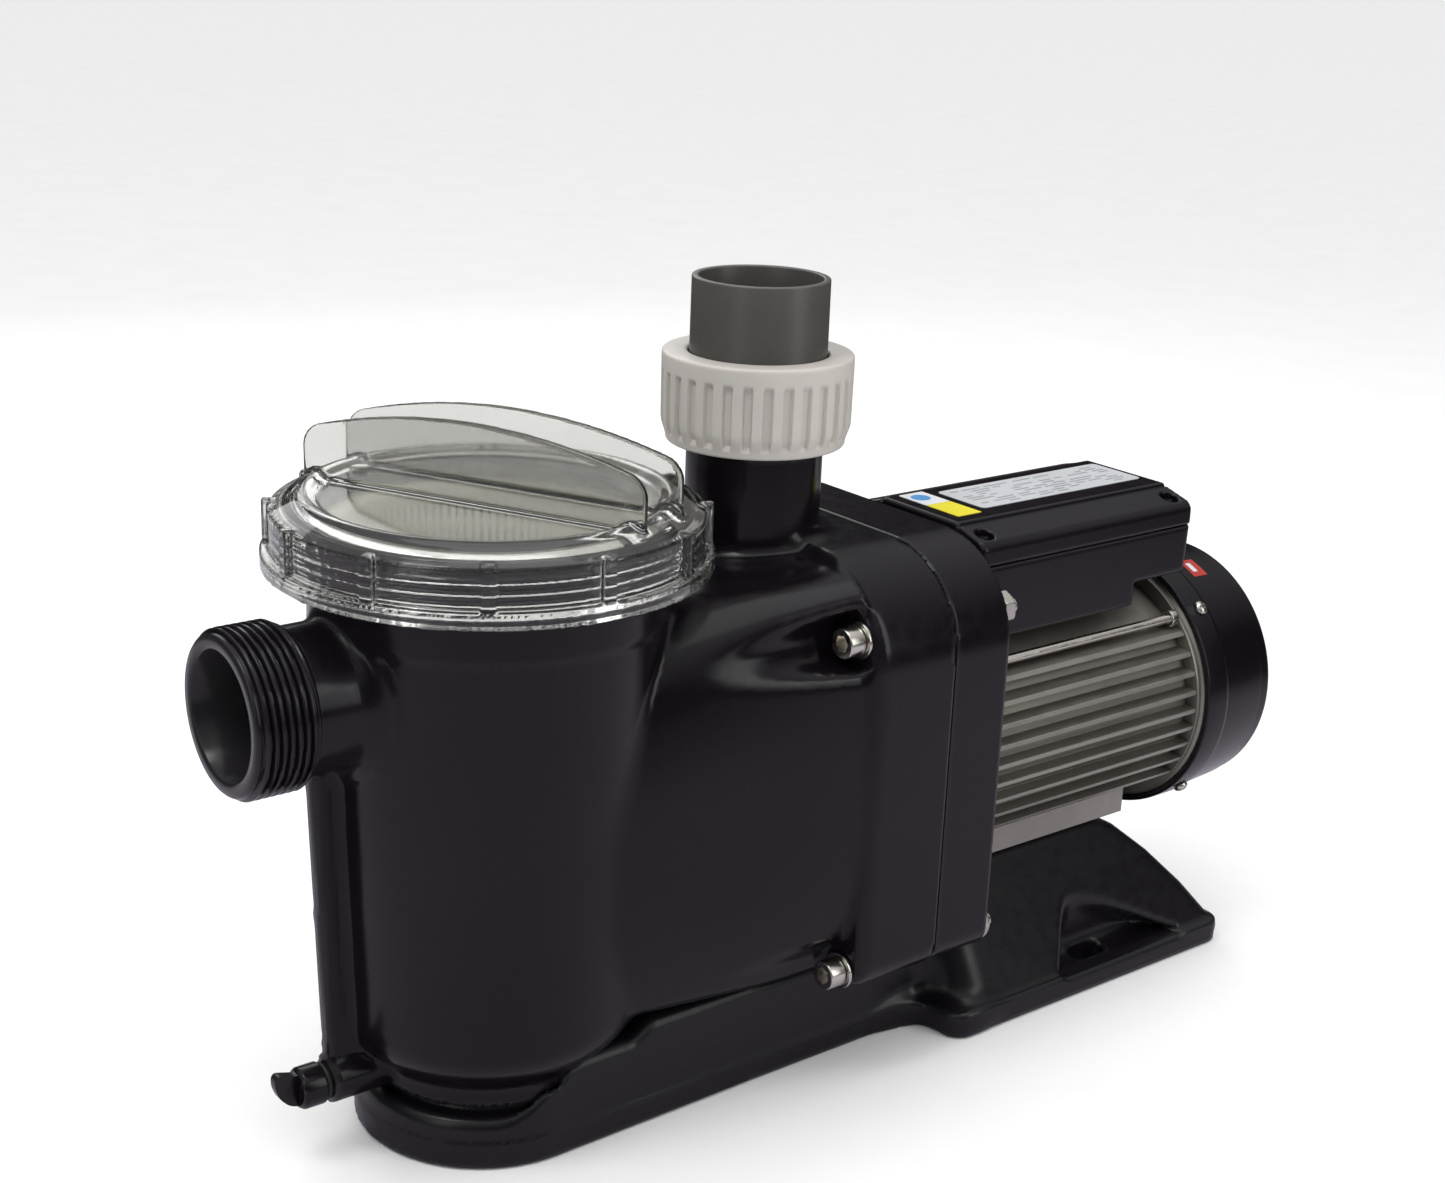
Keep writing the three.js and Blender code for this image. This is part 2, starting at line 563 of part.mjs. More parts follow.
function fanCover() {
  const { front, rear, frontR, rearR, wall, round, slots } = COVER;
  const shell = turnedX([
    [frontR - wall, front], [frontR, front], [frontR, front + 14], [rearR, rear - round],
    [rearR - 2.2, rear - 2.2], [rearR - round, rear], [0, rear], [0, rear - wall],
    [rearR - round - 1, rear - wall], [rearR - wall, rear - round - 1], [frontR - wall, front + 14],
    [frontR - wall, front],
  ], SHAFT.y, SHAFT.z);
  const slot = block(rear - 8, rear + 2, SHAFT.y - 2, SHAFT.y + 2, SHAFT.z + 18, SHAFT.z + 48);
  const grille = Array.from({ length: slots }, (_, i) => turnAboutShaft(slot, (i * 360) / slots));
  const hole = post(COVER_SCREW.shankR + GAP, SHAFT.z + 55, SHAFT.z + 70, COVER_SCREW.x, SHAFT.y, 8);
  return cut(shell, ...grille, ...screwAngles().map((angle) => turnAboutShaft(hole, angle)));
}

function coverScrew(angle) {
  const top = SHAFT.z + COVER.frontR + GAP;
  const screw = turned([
    [0, SHAFT.z + COVER_SCREW.inner], [COVER_SCREW.shankR, SHAFT.z + COVER_SCREW.inner],
    [COVER_SCREW.shankR, top], [COVER_SCREW.headR, top], [COVER_SCREW.headR * 0.8, top + 1.6],
    [COVER_SCREW.headR * 0.4, top + COVER_SCREW.headH], [0, top + COVER_SCREW.headH],
  ], COVER_SCREW.x, SHAFT.y, 12);
  return turnAboutShaft(screw, angle);
}

// ---- terminal box ----

function boxScrewPlaces() {
  const { inset } = BOX_SCREW;
  return [
    [BOX.x0 + inset, BOX.y0 + inset], [BOX.x1 - inset, BOX.y0 + inset],
    [BOX.x0 + inset, BOX.y1 - inset], [BOX.x1 - inset, BOX.y1 - inset],
  ];
}

function boxInside(inset, corner) {
  const [x0, x1, y0, y1] = [BOX.x0 + inset, BOX.x1 - inset, BOX.y0 + inset, BOX.y1 - inset];
  return [
    [x0 + corner, y0], [x1 - corner, y0], [x1, y0 + corner], [x1, y1 - corner],
    [x1 - corner, y1], [x0 + corner, y1], [x0, y1 - corner], [x0, y0 + corner],
  ];
}

function terminalBox() {
  const side = [
    [BOX.x0, BOX.low], [BOX.notchX, BOX.low], [BOX.notchX, BOX.notchZ], [BOX.x1, BOX.notchZ],
    [BOX.x1, BOX.split - GAP], [BOX.x0, BOX.split - GAP],
  ];
  const shape = new THREE.Shape(side.map(([x, z]) => new THREE.Vector2(x, z)));
  const geometry = new THREE.ExtrudeGeometry(shape, { depth: BOX.y1 - BOX.y0, bevelEnabled: false });
  geometry.rotateX(Math.PI / 2);
  geometry.translate(0, BOX.y1, 0);
  const holes = boxScrewPlaces().map(([x, y]) => post(BOX_SCREW.shankR + GAP, 202, BOX.split + 1, x, y, 12));
  const wireHole = post(6, BOX.low - 3, BOX.low + 10, 260, SHAFT.y, 12);
  const glandHole = rod(8, -3, 12, 0, 0, 16).rotate([0, 0, 90]).translate([238, BOX.y1 - 6, 204]);
  return cut(
    solid(geometry), plate(boxInside(BOX_WALL, BOX.corner), BOX.notchZ + BOX_WALL, BOX.split + 1),
    block(BOX.x0 + 18, BOX.notchX - 4, BOX.y0 + 6, BOX.y1 - 6, BOX.low + BOX_WALL, BOX.notchZ + 6),
    ...holes, wireHole, glandHole,
  );
}

function terminalBoxLid() {
  const section = [
    [BOX.y0, BOX.split], [BOX.y1, BOX.split], [BOX.y1, PLATEAU.shoulderZ - 2], [BOX.y1 - 3, PLATEAU.shoulderZ],
    [PLATEAU.y1, BOX.top - 1], [PLATEAU.y1 - 1, BOX.top], [PLATEAU.y0 + 1, BOX.top], [PLATEAU.y0, BOX.top - 1],
    [BOX.y0 + 3, PLATEAU.shoulderZ], [BOX.y0, PLATEAU.shoulderZ - 2],
  ];
  const holes = boxScrewPlaces().flatMap(([x, y]) => [
    post(BOX_SCREW.shankR + GAP, BOX.split - 1, BOX.top, x, y, 12),
    post(BOX_SCREW.recessR, BOX_SCREW.seat, BOX.top + 1, x, y, SEGMENTS.bolt),
  ]);
  const groove = cut(
    plate(boxInside(0.9, BOX.corner), BOX.split - 1, BOX.split + 1.7),
    plate(boxInside(3.2, BOX.corner), BOX.split - 2, BOX.split + 3),
  );
  const labelSeat = block(240, 346, -30.6, 1.2, BOX.top - 0.8, BOX.top + 1);
  const ceiling = plate(boxInside(6, BOX.corner), BOX.split - 1, PLATEAU.shoulderZ - 3);
  return cut(slab(section, BOX.x0, BOX.x1), ceiling, groove, labelSeat, ...holes);
}

function boxGasket() {
  return cut(
    plate(boxInside(1.2, BOX.corner), BOX.split + 0.1, BOX.split + 1.4),
    plate(boxInside(2.9, BOX.corner), BOX.split - 1, BOX.split + 3),
  );
}

function boxScrew(x, y) {
  const seat = BOX_SCREW.seat + GAP;
  return turned([
    [0, BOX_SCREW.end], [BOX_SCREW.shankR, BOX_SCREW.end], [BOX_SCREW.shankR, seat], [BOX_SCREW.headR, seat],
    [BOX_SCREW.headR, seat + 1.6], [BOX_SCREW.headR - 1, seat + BOX_SCREW.headH], [0, seat + BOX_SCREW.headH],
  ], x, y, 12);
}

function cableGland() {
  const profile = [
    [4, -3], [7.6, -3], [7.6, 6.3], [12, 6.3], [12, 12], [10.5, 12.5], [10.5, 21], [8, 25], [4, 25], [4, -3],
  ];
  const gland = turnedX(profile, 0, 0, 18);
  return gland.rotate([0, 0, 90]).translate([238, BOX.y1 - 6, 204]);
}

// ---- fasteners ----

function casingBolt(y, z) {
  const face = FLANGE.front - GAP - HEX.washerH - GAP - GAP;
  const bolt = turnedX([
    [0, face - BOLT.headH], [BOLT.headR - 0.6, face - BOLT.headH], [BOLT.headR, face - BOLT.headH + 0.6],
    [BOLT.headR, face], [BOLT.shankR, face], [BOLT.shankR, BOLT.end], [0, BOLT.end],
  ], y, z, 16);
  const socket = rod(HEX.socketR, face - BOLT.headH - 1, face - BOLT.headH + HEX.socketDepth, y, z, 6);
  return cut(bolt, socket);
}

function casingWasher(y, z) {
  const high = FLANGE.front - GAP - GAP;
  return ringX(BOLT.shankR + GAP, HEX.washerR, high - HEX.washerH, high, y, z, 16);
}

function casingNut(y, z) {
  const low = FLANGE.rear + GAP;
  return ringX(BOLT.shankR + 3 * GAP, HEX.nutR, low, low + HEX.nutH, y, z, 6);
}

// ---- base ----

function baseOutline(inset) {
  const shape = new THREE.Path();
  const { noseX, noseR, flareX, rearX, rearY } = BASE;
  const [r, y, rear] = [noseR - inset, rearY - inset, rearX - inset];
  shape.absarc(noseX, 0, r, Math.PI / 2, (3 * Math.PI) / 2, false);
  shape.lineTo(flareX - 14, -r);
  shape.bezierCurveTo(flareX + 8, -r, flareX + 8, -y, flareX + 18 + inset, -y);
  shape.lineTo(rear - 6, -y);
  shape.quadraticCurveTo(rear, -y, rear, -y + 6);
  shape.lineTo(rear, y - 6);
  shape.quadraticCurveTo(rear, y, rear - 6, y);
  shape.lineTo(flareX + 18 + inset, y);
  shape.bezierCurveTo(flareX + 8, y, flareX + 8, r, flareX - 14, r);
  return shape.getPoints(10).map((p) => [p.x, p.y]);
}

function frontDeck() {
  const { noseX, noseR, flareX, edge, front } = BASE;
  const outline = (inset) => {
    const path = new THREE.Path();
    path.absarc(noseX, 0, noseR - inset, Math.PI / 2, (3 * Math.PI) / 2, false);
    path.lineTo(flareX - 14, -noseR + inset);
    path.lineTo(flareX - 14, noseR - inset);
    return path.getPoints(20).map((p) => [p.x, p.y]);
  };
  const ring = (inset, z) => outline(inset).map(([x, y]) => [x, y, z]);
  return loft([ring(0.4, edge - 3), ring(0.4, front - 6), ring(2, front - 2), ring(6, front)]);
}

function saddle() {
  const ring = (x0, x1, y, z) => [[x0, -y, z], [x1, -y, z], [x1, y, z], [x0, y, z]];
  const { lowX0, lowX1, lowY, x1, y, top } = SADDLE;
  return loft([
    ring(lowX0, lowX1, lowY, BASE.edge - 4), ring(lowX0, lowX1 - 6, lowY - 1, BASE.edge + 1),
    ring(lowX0 + 0.5, x1 + 24, y + 12, 48), ring(lowX0 + 2, x1, y, top),
  ]);
}

function footSlots(side) {
  const { slotX, slotY, slotR, slotHalf } = FOOT_POCKET;
  const ends = [-slotHalf, slotHalf].map((s) => post(slotR, -1, BASE.edge + 3, slotX + s, side * slotY, 16));
  const middle = block(slotX - slotHalf, slotX + slotHalf, side * slotY - slotR, side * slotY + slotR, -1, BASE.edge + 3);
  return join(middle, ...ends);
}

function undersidePockets() {
  const cells = [];
  for (const y of [-26, 26]) {
    for (const x of [62, 106, 150]) cells.push([x, y, 18, 19, 16]);
  }
  for (const x of [232, 276, 320, 360]) {
    for (const y of [-20, 20]) cells.push([x, y, x === 360 ? 14 : 18, 16, x === 360 ? 8 : 40]);
  }
  return cells.map(([x, y, halfX, halfY, depth]) => (
    block(x - halfX, x + halfX, y - halfY, y + halfY, -1, depth)));
}

function pumpBase() {
  const bearer = block(BEARER.x0, BEARER.x1, -BEARER.y, BEARER.y, BASE.edge - 1, FLANGE.low - GAP);
  const pedestal = post(46, BASE.front - 2, POT.floor - GAP, 0, 0, SEGMENTS.round);
  const body = join(plate(baseOutline(0), 0, BASE.edge), frontDeck(), saddle(), bearer, pedestal);
  const { x0, x1, y } = FOOT_POCKET;
  const pockets = [-1, 1].map((side) => (
    block(x0, x1, Math.min(side * y, side * 90), Math.max(side * y, side * 90), BASE.edge, 62)));
  return cut(body, ...pockets, footSlots(-1), footSlots(1), ...undersidePockets());
}

// ---- assembly ----

add('pump_housing', pumpHousing(), BLACK);
add('strainer_lid', strainerLid(), CLEAR);
add('lid_o_ring', oRing(73, 1.7, 0, 0, 260), RUBBER);
add('strainer_basket', strainerBasket(), CREAM);
add('drain_plug', drainPlug(), BLACK);
add('drain_o_ring', ringX(5.3, 8, DRAIN.faceX - 2.6, DRAIN.faceX - GAP, 0, DRAIN.z, SEGMENTS.small), RUBBER);
add('union_nut', unionNut(), OFF_WHITE);
add('union_tail', unionTail(), GREY);
add('union_o_ring', oRing(28.5, 1.3, DISCHARGE.x, 0, 297.8), RUBBER);

add('diffuser', diffuser(), GREY);
add('impeller', impeller(), GREY);
add('seal_rotating_head', ringX(6.6, 14, 154, 173, SHAFT.y, SHAFT.z, SEGMENTS.bore), RUBBER);
add('seal_stationary_seat', ringX(9, 16.2, 174, 185.5, SHAFT.y, SHAFT.z, SEGMENTS.bore), CERAMIC);
add('casing_o_ring', oRing(60, 1.9, FLANGE.split - 1.8, SHAFT.y, SHAFT.z, true), RUBBER);
add('seal_plate', sealPlate(), BLACK);

add('motor_shaft', motorShaft(), STEEL);
add('rotor_core', ringX(10.3, ROTOR.r, ROTOR.x0, ROTOR.x1, SHAFT.y, SHAFT.z, SEGMENTS.round), STEEL);
add('front_bearing', ringX(8.6, 20, 196, 208, SHAFT.y, SHAFT.z, SEGMENTS.bore), STEEL);
add('rear_bearing', ringX(7.5, 17.5, 338, 349, SHAFT.y, SHAFT.z, SEGMENTS.bore), STEEL);
add('front_end_bracket', frontBracket(), ALUMINIUM);
add('rear_end_bracket', rearBracket(), ALUMINIUM);
add('motor_housing', motorHousing(), ALUMINIUM);
add('stator_core', ringX(STATOR.innerR, STATOR.outerR, STATOR.x0, STATOR.x1, SHAFT.y, SHAFT.z, SEGMENTS.round), STEEL);
add('end_winding_front', ringX(STATOR.windingR0, STATOR.windingR1,
  STATOR.x0 - GAP - STATOR.windingLength, STATOR.x0 - GAP, SHAFT.y, SHAFT.z, SEGMENTS.bore), COPPER);
add('end_winding_rear', ringX(STATOR.windingR0, STATOR.windingR1,
  STATOR.x1 + GAP, STATOR.x1 + GAP + STATOR.windingLength, SHAFT.y, SHAFT.z, SEGMENTS.bore), COPPER);
add('cooling_fan', coolingFan(), BLACK);
add('fan_cover', fanCover(), BLACK);

add('terminal_box', terminalBox(), BLACK);
add('terminal_box_lid', terminalBoxLid(), BLACK);
add('terminal_box_gasket', boxGasket(), RUBBER);
add('capacitor', rod(12.5, 262, 334, -2, 210, 20), LABEL);
add('terminal_block', block(234, 254, -46, -6, 196, 210), OFF_WHITE);
add('cable_gland', cableGland(), BLACK);
add('rating_label', block(240.5, 345.5, -30.2, 0.8, BOX.top - 0.5, BOX.top), LABEL);

boltPlaces().forEach(([y, z], i) => {
  add(`casing_bolt_${i + 1}`, casingBolt(y, z), STEEL);
  add(`casing_washer_${i + 1}`, casingWasher(y, z), STEEL);
  add(`casing_nut_${i + 1}`, casingNut(y, z), STEEL);
});
screwAngles().forEach((angle, i) => add(`cover_screw_${i + 1}`, coverScrew(angle), STEEL));
boxScrewPlaces().forEach(([x, y], i) => add(`box_screw_${i + 1}`, boxScrew(x, y), STEEL));
[TIE.angle, 180 - TIE.angle].forEach((angle, i) => add(`tie_bolt_${i + 1}`, tieBolt(angle), STEEL));

add('pump_base', pumpBase(), BLACK);

export default pump;
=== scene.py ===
"""Pool pump: the fine visible pieces, materials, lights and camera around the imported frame.

Lengths in the shape functions are in millimetres; objects are made in metres.
"""
import json
import math

import bmesh
import bpy
import numpy as np
from mathutils import Matrix, Vector


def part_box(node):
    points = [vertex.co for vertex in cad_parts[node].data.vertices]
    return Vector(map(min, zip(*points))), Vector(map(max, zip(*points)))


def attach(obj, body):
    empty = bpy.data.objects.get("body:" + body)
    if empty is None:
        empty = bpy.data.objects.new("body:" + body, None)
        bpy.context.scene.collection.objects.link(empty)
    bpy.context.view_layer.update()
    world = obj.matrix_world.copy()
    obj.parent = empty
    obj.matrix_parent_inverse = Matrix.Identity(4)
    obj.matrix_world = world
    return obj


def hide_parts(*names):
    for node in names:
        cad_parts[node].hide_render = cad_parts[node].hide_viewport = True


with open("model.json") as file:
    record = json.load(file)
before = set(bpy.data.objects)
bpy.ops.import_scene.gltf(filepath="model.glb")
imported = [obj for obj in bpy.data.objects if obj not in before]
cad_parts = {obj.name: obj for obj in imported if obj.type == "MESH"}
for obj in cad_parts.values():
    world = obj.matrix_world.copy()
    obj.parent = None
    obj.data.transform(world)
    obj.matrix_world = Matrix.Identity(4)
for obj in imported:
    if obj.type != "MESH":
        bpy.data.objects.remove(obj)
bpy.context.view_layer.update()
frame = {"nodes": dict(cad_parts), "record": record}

MM = 0.001


def span(node):
    """Lowest and highest corner of a CAD node, in millimetres."""
    low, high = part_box(node)
    return np.array(low) / MM, np.array(high) / MM


# ---- places taken from the frame, in millimetres ----

HOUSING = span("pump_housing")
LID = span("strainer_lid")
NUT = span("union_nut")
TAIL = span("union_tail")
PLATE = span("seal_plate")
BASE = span("pump_base")
ROTOR = span("motor_shaft")

SHAFT_Y = (ROTOR[0][1] + ROTOR[1][1]) / 2
SHAFT_Z = (ROTOR[0][2] + ROTOR[1][2]) / 2
NECK_X = (TAIL[0][0] + TAIL[1][0]) / 2
PORT_Z = 198.0
DRAIN_Z, DRAIN_FACE = 34.0, -76.0
BOLT_Y = 73.0
BOLT_ZS = (54.0, 204.0)

FLANGE_FRONT = 132.0
FLANGE_SPLIT = PLATE[0][0]
FLANGE_REAR = PLATE[1][0]
FLANGE_HALF = PLATE[1][1]
FLANGE_LOW = PLATE[0][2]
FLANGE_MID_Z = (PLATE[0][2] + PLATE[1][2]) / 2
FLANGE_HALF_Z = (PLATE[1][2] - PLATE[0][2]) / 2
FLANGE_TOP_R = 44.0
FLANGE_LOW_R = 13.0


# ---- distance fields: closed mouldings with real fillets ----

def soft_min(a, b, k):
    """Union of two distances with a fillet of about k."""
    h = np.maximum(k - np.abs(a - b), 0) / k
    return np.minimum(a, b) - h * h * k * 0.25


def soft_max(a, b, k):
    """Overlap of two distances with an edge rounded by about k."""
    h = np.maximum(k - np.abs(a - b), 0) / k
    return np.maximum(a, b) + h * h * k * 0.25


def between(value, low, high):
    return np.maximum(low - value, value - high)


def round_corner(p, q, half_p, half_q, radius):
    """Distance to a rectangle with round corners; radius may be an array."""
    a = np.abs(p) - (half_p - radius)
    b = np.abs(q) - (half_q - radius)
    outside = np.hypot(np.maximum(a, 0), np.maximum(b, 0))
    return outside + np.minimum(np.maximum(a, b), 0) - radius


def ease(value, low, high):
    """0 below low, 1 above high, with a smooth step between."""
    t = np.clip((value - low) / (high - low), 0, 1)
    return t * t * (3 - 2 * t)


CUBE = [(i, j, k) for i in (0, 1) for j in (0, 1) for k in (0, 1)]


def net_vertices(field, cells, axes, step):
    """One vertex per cell, at the mean of the crossings on the cell's edges."""
    i, j, k = cells
    value = {c: field[i + c[0], j + c[1], k + c[2]] for c in CUBE}
    total = np.zeros((len(i), 3))
    count = np.zeros(len(i))
    for corner in CUBE:
        for axis in range(3):
            if corner[axis]:
                continue
            other = tuple(1 if a == axis else corner[a] for a in range(3))
            va, vb = value[corner], value[other]
            crossed = (va < 0) != (vb < 0)
            part = np.where(crossed, va / np.where(crossed, va - vb, 1), 0)
            point = np.tile(np.array(corner, float), (len(i), 1))
            point[:, axis] += part
            total += point * crossed[:, None]
            count += crossed
    origin = np.stack([axes[0][i], axes[1][j], axes[2][k]], 1)
    return origin + total / count[:, None] * step


def net_faces(inside, index):
    """A quad round every grid edge that crosses the surface."""
    faces = []
    for axis in range(3):
        u, v = [a for a in range(3) if a != axis]
        lower = [slice(1, -1)] * 3
        upper = [slice(1, -1)] * 3
        lower[axis] = slice(0, -1)
        upper[axis] = slice(1, None)
        first, second = inside[tuple(lower)], inside[tuple(upper)]
        start = [1, 1, 1]
        start[axis] = 0
        for rising in (True, False):
            where = np.nonzero(first & ~second if rising else ~first & second)
            cell = np.stack(where, 1) + start
            ring = []
            for du, dv in ((-1, -1), (0, -1), (0, 0), (-1, 0)):
                at = cell.copy()
                at[:, u] += du
                at[:, v] += dv
                ring.append(index[at[:, 0], at[:, 1], at[:, 2]])
            quad = np.stack(ring, 1)
            flip = rising == (axis == 1)
            faces.append(quad[:, ::-1] if flip else quad)
    return np.concatenate(faces)


def settle(points, distance, step, rounds=3):
    """Moves the vertices onto the true surface along its gradient."""
    eps = step * 0.05
    for _ in range(rounds):
        here = distance(*points.T)
        slope = np.empty_like(points)
        for axis in range(3):
            ahead, behind = points.copy(), points.copy()
            ahead[:, axis] += eps
            behind[:, axis] -= eps
            slope[:, axis] = (distance(*ahead.T) - distance(*behind.T)) / (2 * eps)
        size = np.maximum((slope ** 2).sum(1), 0.05)
        move = -here[:, None] * slope / size[:, None]
        length = np.linalg.norm(move, axis=1, keepdims=True)
        points = points + move * np.minimum(1, 0.6 * step / np.maximum(length, 1e-9))
    return points


def moulded(distance, low, high, step):
    """Closed skin of the surface where distance is zero, as points and faces."""
    axes = [np.arange(l - 2 * step, h + 3 * step, step) for l, h in zip(low, high)]
    grid = np.meshgrid(*axes, indexing="ij", sparse=True)
    field = np.broadcast_to(distance(*grid), [len(a) for a in axes])
    inside = field < 0
    count = sum(inside[i:i - 1 or None, j:j - 1 or None, k:k - 1 or None].astype(np.int8)
                for i, j, k in CUBE)
    cells = np.nonzero((count > 0) & (count < 8))
    index = np.full(count.shape, -1, np.int64)
    index[cells] = np.arange(len(cells[0]))
    points = net_vertices(field, cells, axes, step)
    return settle(points, distance, step), net_faces(inside, index).tolist()


# ---- meshes: each shape is (points in millimetres, faces) ----

def merged(*shapes):
    """Several closed skins as one shape."""
    points, faces, start = [], [], 0
    for p, f in shapes:
        points.append(np.asarray(p, float))
        faces += [[i + start for i in face] for face in f]
        start += len(p)
    return np.concatenate(points), faces


def moved(shape, x=0.0, y=0.0, z=0.0):
    return np.asarray(shape[0], float) + (x, y, z), shape[1]


def spun(shape, degrees, axis="Z", about=(0, 0, 0)):
    """The shape turned about a line through a point."""
    turn = np.array(Matrix.Rotation(math.radians(degrees), 3, axis))
    about = np.array(about, float)
    return (np.asarray(shape[0], float) - about) @ turn.T + about, shape[1]


def rounded(profile, radius, steps=4, closed=False):
    """The profile with every corner replaced by a short curve."""
    pts = [np.array(p, float) for p in profile]
    last = len(pts)
    out = []
    for i, here in enumerate(pts):
        if not closed and i in (0, last - 1):
            out.append(here)
            continue
        before, after = pts[i - 1], pts[(i + 1) % last]
        to_before, to_after = before - here, after - here
        a, b = np.linalg.norm(to_before), np.linalg.norm(to_after)
        reach = min(radius, 0.45 * a, 0.45 * b)
        start, end = here + to_before / a * reach, here + to_after / b * reach
        for t in np.linspace(0, 1, steps + 1):
            out.append((1 - t) ** 2 * start + 2 * t * (1 - t) * here + t * t * end)
    return out


def lathe(profile, steps=96, axis="z", x=0.0, y=0.0, z=0.0, closed=False, wave=None):
    """Revolved (radius, height) profile. wave(angles, radius, height) adds to the radius."""
    angles = np.linspace(0, 2 * math.pi, steps, endpoint=False)
    points, rows = [], []
    for r, h in profile:
        if r < 1e-6:
            rows.append([len(points)])
            points.append((0, 0, h))
            continue
        extra = wave(angles, r, h) if wave else 0 * angles
        rows.append(list(range(len(points), len(points) + steps)))
        points += list(zip((r + extra) * np.cos(angles), (r + extra) * np.sin(angles), [h] * steps))
    pairs = list(zip(rows, rows[1:])) + ([(rows[-1], rows[0])] if closed else [])
    faces = []
    for low, high in pairs:
        for i in range(steps):
            j = (i + 1) % steps
            ring = [low[i % len(low)], low[j % len(low)], high[j % len(high)], high[i % len(high)]]
            face = [v for n, v in enumerate(ring) if v not in ring[:n]]
            if len(face) > 2:
                faces.append(face)
    points = np.array(points, float)
    if axis == "x":
        points = points[:, [2, 0, 1]]
    return points + (x, y, z), faces


def polar(radius, degrees):
    return radius * math.cos(math.radians(degrees)), radius * math.sin(math.radians(degrees))


def prism(outline, low, high, axis="x"):
    """Outline of pairs pushed along an axis. Pairs are (y, z) for x, (x, z) for y, (x, y) for z."""
    n = len(outline)
    order = {"x": [2, 0, 1], "y": [0, 2, 1], "z": [0, 1, 2]}[axis]
    points = np.array([(*p, h) for h in (low, high) for p in outline], float)[:, order]
    sides = [[i, (i + 1) % n, n + (i + 1) % n, n + i] for i in range(n)]
    return points, sides + [list(range(n))[::-1], [n + i for i in range(n)]]


def block(low, high):
    (x0, y0, z0), (x1, y1, z1) = low, high
    return prism([(x0, y0), (x1, y0), (x1, y1), (x0, y1)], z0, z1, "z")


def round_section(middle, height, thickness, count):
    """Profile of an O-ring for lathe: middle and thickness are radii."""
    turns = np.linspace(0, 2 * math.pi, count + 1)[:-1]
    return [(middle + thickness * math.cos(t), height + thickness * math.sin(t)) for t in turns]


def shade(mesh, sharp=None):
    """Smooth shading, with edges above the angle kept crisp."""
    mesh.polygons.foreach_set("use_smooth", [True] * len(mesh.polygons))
    if sharp is not None:
        mesh.set_sharp_from_angle(angle=math.radians(sharp))


def mesh_object(name, shape, sharp=35):
    """Object from a shape. sharp is the angle above which edges stay crisp."""
    points, faces = shape
    mesh = bpy.data.meshes.new(name)
    mesh.from_pydata((np.asarray(points, float) * MM).tolist(), [], [list(map(int, f)) for f in faces])
    work = bmesh.new()
    work.from_mesh(mesh)
    bmesh.ops.recalc_face_normals(work, faces=work.faces)
    work.to_mesh(mesh)
    work.free()
    obj = bpy.data.objects.new(name, mesh)
    bpy.context.scene.collection.objects.link(obj)
    shade(mesh, sharp)
    return obj


def carve(obj, *cutters, keep="DIFFERENCE"):
    """Cuts closed shapes out of the object, for good."""
    tool = mesh_object(obj.name + "_tool", merged(*cutters), sharp=None)
    cut = obj.modifiers.new("cut", "BOOLEAN")
    cut.operation, cut.solver, cut.object = keep, "EXACT", tool
    bpy.context.view_layer.update()
    result = bpy.data.meshes.new_from_object(obj.evaluated_get(bpy.context.evaluated_depsgraph_get()))
    obj.modifiers.remove(cut)
    obj.data = result
    bpy.data.objects.remove(tool)
    return obj


def soften(obj, width, steps=2, angle=32):
    """Rounds the object's edges and smooths its shading."""
    shade(obj.data)
    edge = obj.modifiers.new("edges", "BEVEL")
    edge.width, edge.segments = width * MM, steps
    edge.limit_method, edge.angle_limit = "ANGLE", math.radians(angle)
    edge.harden_normals = True
    return obj


def polygon(p, q, corners):
    """Distance in the plane to a closed outline."""
    best, inside = np.inf, False
    for (ax, ay), (bx, by) in zip(corners, corners[1:] + corners[:1]):
        ex, ey, wx, wy = bx - ax, by - ay, p - ax, q - ay
        t = np.clip((wx * ex + wy * ey) / (ex * ex + ey * ey), 0, 1)
        best = np.minimum(best, (wx - ex * t) ** 2 + (wy - ey * t) ** 2)
        crossed = ((q >= ay) != (q >= by)) & ((ex * wy > ey * wx) == (by > ay))
        inside = inside ^ crossed
    return np.where(inside, -1, 1) * np.sqrt(best)


def helix(root, pitch, depth, low, high):
    """A screw thread for lathe, on every row whose radius is the root or more."""
    def wave(angles, r, h):
        if r < root - 0.01:
            return 0 * angles
        phase = (h / pitch - angles / (2 * math.pi)) % 1
        crest = np.clip((0.36 - np.abs(phase - 0.5)) / 0.2, 0, 1)
        return depth * crest * ease(h, low, low + pitch) * (1 - ease(h, high - pitch, high))
    return wave


def rows(radius, low, high, step=0.3):
    """Evenly spaced rows of a lathe profile."""
    return [(radius, h) for h in np.linspace(low, high, int(abs(high - low) / step) + 2)]


# ---- camera, light and floor ----

LENS, SENSOR = 52.94, 36.0
CAMERA_PLACE = (-0.4218, -0.6788, 0.4881)
CAMERA_AZIMUTH, CAMERA_ELEVATION, CAMERA_ROLL = (math.radians(v) for v in (-38.433, 17.981, -2.231))


